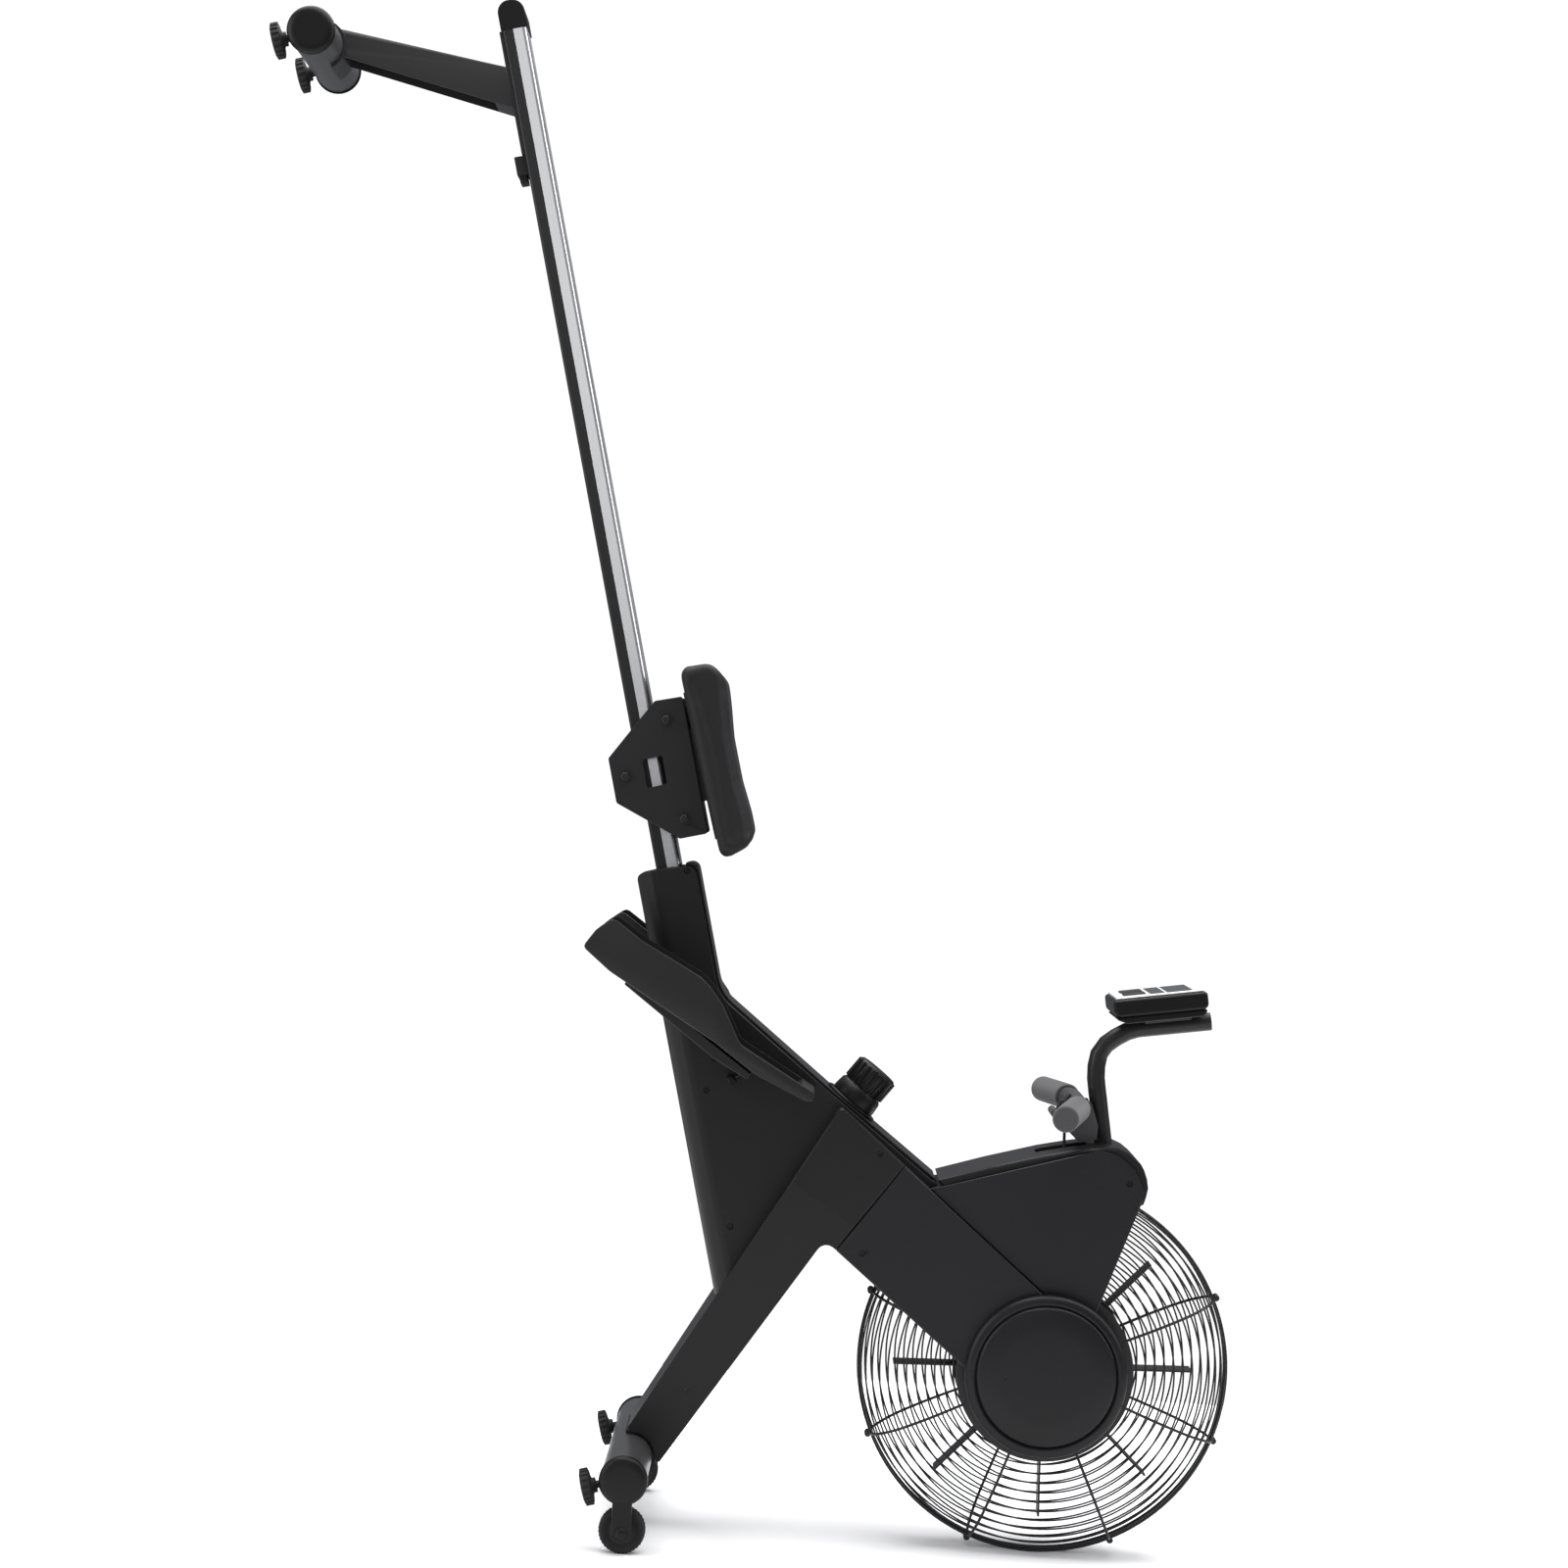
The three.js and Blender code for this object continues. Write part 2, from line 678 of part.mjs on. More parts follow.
// ---------------------------------------------------------------- rear leg
const rearReach = railLength - 1157;
function rearShift([x, z, radius = 0]) {
  const move = rearReach / 1000;
  return [x - move * 999.4, z + move * 33.4, radius];
}
const beamOutline = [[-1990, 84], [-1890, 295.6], [-1832, 293.8], [-1951, 81]].map(rearShift);
const rearBarAt = rearShift(rearBar).slice(0, 2);
const plateUnder = onRail(block([-railLength, -36, -4 - GAP], [-railLength + 170, 36, -GAP]));
function rearBeam() {
  const whole = panel(beamOutline, -37, 37, { round: 2 });
  const hollow = panel([[-1997, 60], [-1890, 286], [-1838, 284], [-1955, 60]].map(rearShift), -34, 34);
  const saddle = crossRod(crossbarRadius + 0.6 + 4, rearBarAt, -46, 46, 28);
  const upper = block([rearBarAt[0] - 60, -50, rearBarAt[1] + 8], [rearBarAt[0] + 60, 50, rearBarAt[1] + 60]);
  const bar = crossRod(crossbarRadius + 0.6, rearBarAt, -60, 60, 28);
  return join(cut(join(cut(whole, hollow), saddle.intersect(upper)), bar), plateUnder);
}
piece("rear_beam", rearBeam(), blackSteel);

function railStop() {
  const from = -railLength + 170 + GAP;
  const main = block([from, -26, -16], [from + 25, 26, -GAP]);
  const bumper = block([from + 24, -16, -14], [from + 36, 16, -3]);
  return onRail(join(main, bumper));
}
piece("rail_stop", railStop(), blackRubber);

// ---------------------------------------------------------------- crossbars, caps and feet
const capLength = 13;
function crossbar(at, half, footAt) {
  const end = half - capLength - GAP;
  const bores = [-footAt, footAt].map((y) => rod(5.6, [at[0], y, at[1]], [0, 0, -1], 10, 60, 24));
  return cut(crossPipe(crossbarRadius, crossbarRadius - 2.5, at, -end, end), ...bores);
}

function endCap(at, half) {
  const big = crossbarRadius + 2;
  const profile = [
    [0, half],
    [big - 9, half],
    [big - 3, half - 2],
    [big, half - 6],
    [big, half - capLength],
    [crossbarRadius - 3, half - capLength],
    [crossbarRadius - 3, half - capLength - 5],
    [0, half - capLength - 5],
  ].reverse();
  return turned(profile, [at[0], 0, at[1]], [0, -1, 0], 22);
}

const frontFootAt = frontCrossbarHalf - 25;
const rearFootAt = rearCrossbarHalf - 30;
piece("front_crossbar", crossbar(frontBar, frontCrossbarHalf, frontFootAt), greySteel);
piece("rear_crossbar", crossbar(rearBarAt, rearCrossbarHalf, rearFootAt), greySteel);
pair("rear_cap", endCap(rearBarAt, rearCrossbarHalf), blackPlastic);

// The front caps carry the transport wheels on a short arm and a pin.
const wheelMiddle = frontCrossbarHalf - 31;
function frontCap() {
  const cap = endCap(frontBar, frontCrossbarHalf);
  const [wx, wz] = wheelCentre;
  const [bx, bz] = frontBar;
  const length = Math.hypot(wx - bx, wz - bz);
  const way = [(wx - bx) / length, (wz - bz) / length];
  const across = [-way[1] * 13, way[0] * 13];
  const tabOutline = [
    [bx + across[0], bz + across[1]],
    [wx + way[0] * 13 + across[0], wz + way[1] * 13 + across[1], 12.5],
    [wx + way[0] * 13 - across[0], wz + way[1] * 13 - across[1], 12.5],
    [bx - across[0], bz - across[1]],
  ];
  const outer = -frontCrossbarHalf + 2;
  const tab = panel(tabOutline, outer, outer + 9, { round: 1.5 });
  const pin = crossRod(5, wheelCentre, outer + 5, -wheelMiddle + wheelWidth / 2 + 6, 24);
  const wheelFace = -wheelMiddle + wheelWidth / 2;
  const washer = crossRod(8, wheelCentre, wheelFace + 1, wheelFace + 6, 24);
  return join(cap, tab, pin, washer);
}
pair("front_cap", frontCap(), blackPlastic);

function wheel() {
  const w = wheelWidth / 2;
  const profile = [
    [5.35, -w],
    [12, -w],
    [wheelRadius - 9, -w + 2],
    [wheelRadius - 3, -w],
    [wheelRadius, -w + 3],
    [wheelRadius, w - 3],
    [wheelRadius - 3, w],
    [wheelRadius - 9, w - 2],
    [12, w],
    [5.35, w],
    [5.35, -w],
  ];
  return turned(profile, [wheelCentre[0], -wheelMiddle, wheelCentre[1]], [0, 1, 0], 22);
}
pair("transport_wheel", wheel(), blackRubber);

function levellingFoot(at, y) {
  const up = at[1] - 8;
  const profile = [
    [0, 0],
    [footRadius - 3, 0],
    [footRadius, 2.5],
    [footRadius, footHeight - 3],
    [footRadius - 4, footHeight],
    [10, footHeight + 2],
    [5, footHeight + 4],
    [5, up],
    [0, up],
  ];
  return turned(profile, [at[0], -y, 0], [0, 0, 1], 18);
}
pair("front_foot", levellingFoot(frontBar, frontFootAt), blackRubber);
pair("rear_foot", levellingFoot(rearBarAt, rearFootAt), blackRubber);

// ---------------------------------------------------------------- seat and carriage
const plateInner = 58;
const windowOutline = [[-923, 276, 3], [-923, 304, 3], [-884, 302, 3], [-884, 274, 3]];
const rollerPlaces = {
  rear: railPoint(189, railHeight + rollerRadius + 0.2),
  front: railPoint(52, railHeight + rollerRadius + 0.2),
  lower: railPoint(123, -rollerRadius - 0.2),
};
// The underside of the lid over the rollers; the seat is built up from it.
const lidUnder = rollerPlaces.rear[1] + rollerRadius + 1.5;
const carriageOutline = [
  [-998, lidUnder - 28.4, 5],
  [-996, lidUnder + 9.6, 4],
  [-806, lidUnder + 3.6, 4],
  [-807, lidUnder - 35.4, 5],
  [-842, 264],
  [-873, 229, 5],
  [-935, 231, 5],
  [-978, 284.5],
];
function seatCarriage() {
  const plates = [-1, 1].map((s) => {
    const low = s < 0 ? -plateInner - 4 : plateInner;
    return cut(
      panel(carriageOutline, low, low + 4, { round: 0.8 }),
      panel(windowOutline, -80, 80),
    );
  });
  const lid = block(
    [-990, -plateInner - 1, lidUnder],
    [-812, plateInner + 1, lidUnder + 3.8],
  );
  const bolts = Object.values(rollerPlaces).map((at) =>
    join(
      crossRod(5, at, -plateInner - 6, plateInner + 6, 12),
      crossRod(8, at, -plateInner - 8, -plateInner - 3, 10),
      crossRod(8, at, plateInner + 3, plateInner + 8, 10),
    ),
  );
  const pan = block([-1000, -66, lidUnder + 11.6], [-796, 66, lidUnder + 17.6]);
  const neck = block([-950, -50, lidUnder + 2.6], [-850, 50, lidUnder + 12.6]);
  return join(...plates, lid, neck, pan, ...bolts);
}
piece("seat_carriage", seatCarriage(), blackSteel);

function seatRoller(at) {
  const r = rollerRadius;
  const profile = [
    [5.35, -30],
    [r - 3, -30],
    [r, -28],
    [r, -12],
    [r - 4, -10],
    [r - 4, 10],
    [r, 12],
    [r, 28],
    [r - 3, 30],
    [5.35, 30],
    [5.35, -30],
  ];
  return turned(profile, [at[0], 0, at[1]], [0, 1, 0], 16);
}
for (const [where, at] of Object.entries(rollerPlaces)) {
  piece("seat_roller_" + where, seatRoller(at), blackRubber);
}

const padOutline = [
  [-1031, 14.6, 9],
  [-1034, 57.6, 9],
  [-1016, 70.1, 12],
  [-980, 67.1],
  [-929, 60.6, 60],
  [-865, 59.1],
  [-820, 62.1],
  [-774, 61.1, 14],
  [-768, 14.6, 9],
].map(([x, z, radius]) => [x, lidUnder + z, radius]);
const padUnder = block([-1004, -70, lidUnder + 1.6], [-792, 70, lidUnder + 22.6]);
const padBody = panel(padOutline, -seatHalfWidth, seatHalfWidth, { round: 8.5 });
piece("seat_pad", cut(padBody, padUnder), seatSkin);

// ---------------------------------------------------------------- foot rests
const footInner = bodyHalf + 4;
const footOuter = footInner + footPlateWidth;
const sole = [[-696, 150, 6], [-656, 178, 60], [-534, 294], [-480, 338, 60], [-431, 395, 4]];
const trayOutline = [
  ...sole,
  [-428, 404, 3],
  [-438, 411, 4],
  [-524, 327, 20],
  [-549, 322, 14],
  [-579, 316],
  [-607, 305, 20],
  [-623, 295],
  [-687, 229],
  [-724, 199, 8],
  [-714, 172, 12],
];
const wellOutline = [
  [-712, 186, 6],
  [-697, 160, 6],
  [-660, 184.5, 40],
  [-538.4, 300, 0],
  [-485, 344, 30],
  [-449, 384, 4],
  [-462, 430],
  [-600, 380],
  [-770, 240],
];
function footTray() {
  const whole = panel(trayOutline, -footOuter, -footInner, { round: 2.2, steps: 2 });
  return cut(whole, panel(wellOutline, -footOuter + 7, -footInner - 5));
}
pair("foot_tray", footTray(), blackPlastic);

const pinFoot = [-471, 298];
const pinWay = [-0.394, 0, 0.919];
const pinSide = -footInner - 13;
function footBase() {
  const outline = [
    [-634, 192, 2],
    [-637, 195.4],
    [-560, 267.8],
    [-534.4, 288],
    [-481, 331.5],
    [-474.5, 325, 2],
    [-503, 296, 6],
    [-511, 288, 4],
  ];
  const base = [pinFoot[0], pinSide, pinFoot[1]];
  const bore = rod(4.5, base, pinWay, -10, 60, 24);
  return cut(panel(outline, -footInner - 88, -bodyHalf - GAP, { round: 0.8, steps: 3 }), bore);
}
pair("foot_base", footBase(), blackSteel);

function footPin() {
  const base = [pinFoot[0], pinSide, pinFoot[1]];
  const profile = [[0, 0], [6, 0], [7.5, 2], [7.5, 8], [4, 10], [4, 29], [0, 29]];
  const stem = turned(profile, base, pinWay, 24);
  const bar = block(
    [pinFoot[0] - 4.5, pinSide - 16, pinFoot[1] + 1],
    [pinFoot[0] + 3, pinSide + 14, pinFoot[1] + 7.5],
  );
  return join(stem, bar);
}
pair("foot_pin", footPin(), blackPlastic);

// ---------------------------------------------------------------- handle
const gripStart = 90;
const gripDrop = 25.5;
function handleBar() {
  const [x, z] = handleCentre;
  const drop = (y) => Math.max(0, Math.abs(y) - 60) ** 2 * 0.0054;
  const path = [-91, -80, -66, -50, 0, 50, 66, 80, 91].map((y) => [x - drop(y) * 0.4, y, z - drop(y)]);
  return drawn(disc(handleBarRadius), path, 14);
}
piece("handle_bar", handleBar(), greySteel);

function handleGrip() {
  const [x, z] = handleCentre;
  const start = new THREE.Vector3(x - 2.2, -gripStart - 3.6, z - 5.2);
  const end = new THREE.Vector3(x - 7, -gripStart - 140, z - 5 - gripDrop);
  const way = end.clone().sub(start).normalize();
  const r = gripRadius;
  const profile = [
    [0, 0],
    [r - 2, 0],
    [r, 2],
    [r, gripLength - 4],
    [r - 1.5, gripLength - 1],
    [r - 4, gripLength],
    [0, gripLength],
  ];
  return turned(profile, start.toArray(), way.toArray(), 24);
}
pair("handle_grip", handleGrip(), greyFoam);

function cradlePlate() {
  const [x, z] = handleCentre;
  const notch = arc(handleCentre, handleBarRadius + 0.6, 90, -90, 8);
  const outline = [
    [-281.6, 772],
    [-300, 778, 8],
    [x - 2, z + handleBarRadius + 4.5, 3],
    [x - 2, z + handleBarRadius + 0.5],
    ...notch,
    [x - 6, z - handleBarRadius - 0.5],
    [x - 7, z - handleBarRadius - 6, 3],
    [x + 3, 729],
    [x + 6, 720],
    [x + 16, 733, 6],
    [-300, 737, 12],
    [-282.6, 748],
  ];
  return panel(outline, -30, -24, { steps: 3 });
}
const cradlePin = crossRod(5.5, [handleCentre[0] + 4, 723.5], -33, 33, 20);
const cradleFoot = block([-287.5, -30, 757.5], [-282, 30, 766]);
const cradleSide = cradlePlate();
function handleCradle() {
  const roomFor = panel(armTrimOuter.concat([[-160, 700]]), -72, 72, { grow: GAP, steps: 3 });
  const all = join(cradleSide, cradleSide.mirror([0, 1, 0]), cradlePin, cradleFoot);
  return cut(all, roomFor);
}
piece("handle_cradle", handleCradle(), greySteel);

// ---------------------------------------------------------------- resistance knob
const knobWay = [-0.6033, 0, 0.7975];
const knobAt = [knobBase[0], 0, knobBase[1]];
const flangeProfile = [[0, -3.8], [40, -3.8], [40, -1.6], [38, 0], [0, 0]];
piece("knob_flange", turned(flangeProfile, knobAt, knobWay, 32), blackPlastic);
function brakeKnob() {
  const skirt = knobRadius + 2.5;
  const profile = [
    [0, GAP],
    [skirt, GAP],
    [skirt, 5],
    [knobRadius + 1, 19],
    [knobRadius - 0.6, 21],
    [knobRadius, 23],
    [knobRadius, 53],
    [knobRadius - 3, 56.5],
    [0, 56.5],
  ];
  const whole = turned(profile, knobAt, knobWay, 30);
  const way = new THREE.Vector3(...knobWay).normalize();
  const flat = new THREE.Vector3(way.z, 0, -way.x);
  const flutes = Array.from({ length: 10 }, (_, k) => {
    const spoke = flat.clone().applyAxisAngle(way, (k * Math.PI) / 5);
    const at = new THREE.Vector3(...knobAt).addScaledVector(spoke, knobRadius + 2.6);
    return rod(4, at.toArray(), knobWay, 24, 60, 8);
  });
  return cut(whole, ...flutes);
}
piece("brake_knob", brakeKnob(), blackPlastic);

// ---------------------------------------------------------------- console
const consoleTilt = 6.7;
function onConsole(made) {
  const place = new THREE.Matrix4()
    .makeRotationY(THREE.MathUtils.degToRad(consoleTilt))
    .setPosition(consoleCentre[0], 0, consoleCentre[1]);
  return made.transform(place.elements);
}
function consolePost() {
  const route = [
    [-262, 780],
    [-290, 783],
    [-328, 787],
    [-372, 793],
    [-398, 806],
    [-411, 831],
    [-416, 855],
    [-414, 877],
    [-404, 962],
  ];
  const tube = drawn(disc(12.5), route.map(([x, z]) => [x, 0, z]), 18);
  const roomFor = panel(armTrimOuter.concat([[-160, 700]]), -72, 72, { grow: GAP, steps: 3 });
  const bracket = onConsole(block([consoleDepth / 2 + GAP, -22, -20], [consoleDepth / 2 + 16, 22, 44]));
  return join(cut(tube, roomFor), bracket);
}
const keyCount = 2;
const keyPitch = 56;
const keyLow = -47;
const keyHigh = -17;
const keyHalf = 20;
const keys = Array.from({ length: keyCount }, (_, k) => (k - (keyCount - 1) / 2) * keyPitch);
function keyRoom(y, more) {
  const back = -consoleDepth / 2;
  const low = [back - 9, y - keyHalf - more, keyLow - more];
  return block(low, [back + 5, y + keyHalf + more, keyHigh + more]);
}
piece("console_post", consolePost(), blackSteel);
const consoleHalf = consoleWidth / 2;
const tall = consoleHeight / 2;
const back = -consoleDepth / 2;
const caseOutline = [[back, -tall, 5], [back, tall, 5], [-back, tall, 8], [-back, -tall, 8]];
const caseBody = panel(caseOutline, -consoleHalf, consoleHalf, { round: 4 });
piece("console_body", onConsole(cut(caseBody, ...keys.map((y) => keyRoom(y, 0.6)))), blackPlastic);
const faceOutline = [
  [back - 3, -tall + 5, 1.2],
  [back - 3, tall - 5, 1.2],
  [back - GAP, tall - 5],
  [back - GAP, -tall + 5],
];
const facePlate = panel(faceOutline, -consoleHalf + 5, consoleHalf - 5, { round: 1 });
piece("console_face", onConsole(cut(facePlate, ...keys.map((y) => keyRoom(y, 0.6)))), silverFace);
keys.forEach((y, k) => {
  const key = block([back - 4.6, y - keyHalf, keyLow], [back + 3.4, y + keyHalf, keyHigh]);
  piece("console_key_" + (k + 1), onConsole(key), blackPlastic);
});

// ---------------------------------------------------------------- tip the machine upright
// It leans until the wheels and the cage touch the floor together.
const spanX = fanCentre[0] - wheelCentre[0];
const spanZ = fanCentre[1] - wheelCentre[1];
const rise = Math.asin((cageRadius - 0.3 - wheelRadius) / Math.hypot(spanX, spanZ));
const lean = rise - Math.atan2(-spanX, spanZ);
machine.rotation.y = Math.PI / 2 - lean;
machine.updateMatrixWorld(true);
const box = new THREE.Box3().setFromObject(machine, true);
machine.position.set(-(box.min.x + box.max.x) / 2, 0, -box.min.z);
machine.updateMatrixWorld(true);

const group = new THREE.Group();
group.add(machine);
export default group;
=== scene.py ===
"""An air rowing machine, stored upright on its transport wheels and its fan cage."""

import json
import math

import bmesh
import bpy
from mathutils import Matrix, Vector


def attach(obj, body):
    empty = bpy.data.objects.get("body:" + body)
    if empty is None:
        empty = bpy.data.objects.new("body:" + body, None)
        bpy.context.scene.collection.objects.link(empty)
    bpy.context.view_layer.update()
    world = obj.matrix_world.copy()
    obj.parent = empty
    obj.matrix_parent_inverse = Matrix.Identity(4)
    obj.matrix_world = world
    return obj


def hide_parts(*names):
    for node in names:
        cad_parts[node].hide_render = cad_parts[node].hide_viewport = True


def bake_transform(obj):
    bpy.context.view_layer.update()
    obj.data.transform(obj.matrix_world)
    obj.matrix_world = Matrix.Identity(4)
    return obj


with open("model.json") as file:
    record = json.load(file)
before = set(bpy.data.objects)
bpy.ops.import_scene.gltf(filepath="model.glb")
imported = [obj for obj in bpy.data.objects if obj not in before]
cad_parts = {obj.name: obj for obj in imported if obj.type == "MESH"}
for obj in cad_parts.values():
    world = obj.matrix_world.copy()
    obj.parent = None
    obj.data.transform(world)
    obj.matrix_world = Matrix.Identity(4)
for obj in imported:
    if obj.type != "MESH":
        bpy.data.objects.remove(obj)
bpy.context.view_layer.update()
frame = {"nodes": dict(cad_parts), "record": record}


# ------------------------------------------------------------------ inner steel frame
# A welded steel plate carries everything inside the covers. It is powder coated black.
# Sizes are in millimetres as the machine is used: ahead, to the left, and up.
FORWARD = Vector((0.284608, 0.0, -0.958644))
UPWARD = Vector((0.958644, 0.0, 0.284608))
LEFTWARD = Vector((0.0, 1.0, 0.0))
GROUND = Vector((-0.148289, 0.0, 0.083079))
STAND = Matrix.Translation(GROUND) @ (
    Matrix((FORWARD, LEFTWARD, UPWARD)).transposed().to_4x4() @ Matrix.Scale(0.001, 4)
)
SIDES = {"right": -1, "left": 1}
body_of = {
    node: body
    for body, members in frame["record"]["behaviour"]["bodies"].items()
    for node in members
}


class Wire:
    """A socket in a finish's nodes. Arithmetic on it adds Math nodes."""

    def __init__(self, finish, socket):
        self.finish = finish
        self.socket = socket

    def maths(self, operation, first, second):
        return self.finish.node("Math", {"operation": operation}, {0: first, 1: second})

    def __add__(self, other):
        return self.maths("ADD", self, other)

    __radd__ = __add__

    def __sub__(self, other):
        return self.maths("SUBTRACT", self, other)

    def __rsub__(self, other):
        return self.maths("SUBTRACT", other, self)

    def __mul__(self, other):
        return self.maths("MULTIPLY", self, other)

    __rmul__ = __mul__


class Finish:
    """One finish: a shader with its uniform values, and what varies over the surface."""

    def __init__(self, name, **uniform):
        self.material = bpy.data.materials.new(name)
        self.material.use_nodes = True
        self.tree = self.material.node_tree
        self.shader = self.tree.nodes["Principled BSDF"]
        for label, value in uniform.items():
            self.shader.inputs[label.replace("_", " ")].default_value = value
        self.place = self.node("TexCoord", {}, {}, "Object")

    def node(self, kind, settings, sockets, output=0):
        made = self.tree.nodes.new("ShaderNode" + kind)
        for label, value in settings.items():
            setattr(made, label, value)
        for label, value in sockets.items():
            if isinstance(value, Wire):
                self.tree.links.new(value.socket, made.inputs[label])
            else:
                made.inputs[label].default_value = value
        return Wire(self, made.outputs[output])

    def noise(self, size, detail=2.0, place=None):
        sockets = {"Vector": place or self.place, "Scale": 1 / size, "Detail": detail}
        return self.node("TexNoise", {}, sockets)

    def band(self, low, high, wire):
        sockets = {"Value": wire, "From Min": low, "From Max": high}
        return self.node("MapRange", {"clamp": True}, sockets)

    def tones(self, dark, light, factor):
        sockets = {0: factor, 6: (*dark, 1), 7: (*light, 1)}
        return self.node("Mix", {"data_type": "RGBA"}, sockets, 2)

    def feed(self, label, wire):
        self.tree.links.new(wire.socket, self.shader.inputs[label])

    def relief(self, height, depth, under=None):
        sockets = {"Height": height, "Distance": depth, "Strength": 1.0}
        if under:
            sockets["Normal"] = under
        return self.node("Bump", {}, sockets)


def shade(colour, share):
    return tuple(channel * share for channel in colour)


def powder_coat(name, colour, gloss):
    look = Finish(name, Specular_IOR_Level=0.25)
    cloud = look.noise(0.22, 3.0)
    peel = look.noise(0.0024, 2.0)
    look.feed("Base Color", look.tones(shade(colour, 0.82), shade(colour, 1.2), cloud))
    look.feed("Roughness", cloud * 0.12 + peel * 0.06 + (gloss - 0.09))
    look.feed("Normal", look.relief(peel, 0.00005))
    return look.material


def tidy_mesh(mesh, angle):
    """Merges a solid's loose triangles and shades it smooth up to an angle."""
    work = bmesh.new()
    work.from_mesh(mesh)
    bmesh.ops.remove_doubles(work, verts=work.verts, dist=1e-5)
    flat = math.radians(0.6)
    bmesh.ops.dissolve_limit(work, angle_limit=flat, verts=work.verts, edges=work.edges)
    work.to_mesh(mesh)
    work.free()
    mesh.shade_smooth()
    mesh.set_sharp_from_angle(angle=math.radians(angle))


def plain_mesh(piece):
    """Turns a piece with modifiers into the mesh that they make."""
    depsgraph = bpy.context.evaluated_depsgraph_get()
    made = bpy.data.meshes.new_from_object(piece.evaluated_get(depsgraph))
    piece.modifiers.clear()
    piece.data = made


def soften(piece, width, segments=2):
    """Breaks a piece's hard edges by a width in millimetres."""
    edge = piece.modifiers.new("edges", "BEVEL")
    edge.width = width / 1000
    edge.segments = segments
    edge.angle_limit = math.radians(28)
    edge.harden_normals = True
    plain_mesh(piece)


def paint(piece, look):
    piece.data.materials.clear()
    piece.data.materials.append(look)


def stands_for(piece, look, slot, *nodes):
    """The piece takes the place and the motion of the solids named."""
    paint(piece, look)
    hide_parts(*nodes)
    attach(piece, body_of[nodes[0]])
    return piece


def dress(node, look, slot, angle=32, edge=0.0):
    """A smooth-shaded copy of a solid, with its hard edges broken."""
    mesh = frame["nodes"][node].data.copy()
    piece = bpy.data.objects.new(node + "_skin", mesh)
    bpy.context.scene.collection.objects.link(piece)
    tidy_mesh(mesh, angle)
    if edge:
        soften(piece, edge)
    else:
        even = piece.modifiers.new("even", "WEIGHTED_NORMAL")
        even.keep_sharp = True
        plain_mesh(piece)
    return stands_for(piece, look, slot, node)


black_coat = powder_coat("black_powder_coat", (0.0105, 0.0105, 0.011), 0.36)
dress("main_frame", black_coat, "black_steel")
dress("spring_cassette", black_coat, "black_steel")


# ------------------------------------------------------------------ strap drive
# Inside the covers the strap winds on a zinc plated drum with a steel brake disc. A small
# guide roller turns under the arm's slot, and a bracket brings the brake magnets to the disc.
def zinc_plate(name):
    look = Finish(name, Metallic=0.9)
    cloud = look.noise(0.02, 4.0)
    look.feed("Base Color", look.tones((0.34, 0.34, 0.33), (0.5, 0.5, 0.51), cloud))
    look.feed("Roughness", cloud * 0.25 + 0.26)
    look.feed("Normal", look.relief(look.noise(0.0012, 2.0), 0.00002))
    return look.material


zinc = zinc_plate("dull_zinc")
for part in ("strap_drum", "guide_roller", "magnet_bracket"):
    dress(part, zinc, "zinc", edge=0.3)


# ------------------------------------------------------------------ fan and its axle
# Eight flat sheet paddles stand on a hub and turn on a fixed steel axle. The sheet is
# coated dark, and the axle ends in a nut under each hub cover.
dark_sheet = powder_coat("dark_coated_sheet", (0.02, 0.0195, 0.021), 0.42)
dress("fan_wheel", dark_sheet, "fan_aluminium", edge=0.5)
dress("fan_axle", zinc, "zinc", edge=0.5)


# ------------------------------------------------------------------ fan cage
# Each half of the cage is fine wire rings welded to eight bent spokes, with a plate round
# the hub and a heavier rim wire. Eight small clips hold the two rims together.
FAN = (9.0, 0.0, 633.0)
RIM_REACH = 252.4
RIM_LIFT = 3.4
RIM_SIDES = 12
CAGE_PROFILE = ((112, 64), (165, 69.5), (213, 63), (241, 42), (RIM_REACH, 20), (RIM_REACH, RIM_LIFT))
HUB_PLATE = [(60, 62.5), (121, 62.5), (121, 66), (60, 66)]
CLIP_REACH = 0.2575
CAGE_RINGS = 15
CAGE_SPOKES = 8
FIRST_SPOKE = math.radians(-8.9)
RING_WIRE = 1.25
SPOKE_WIRE = 2.0
RIM_WIRE = 2.6


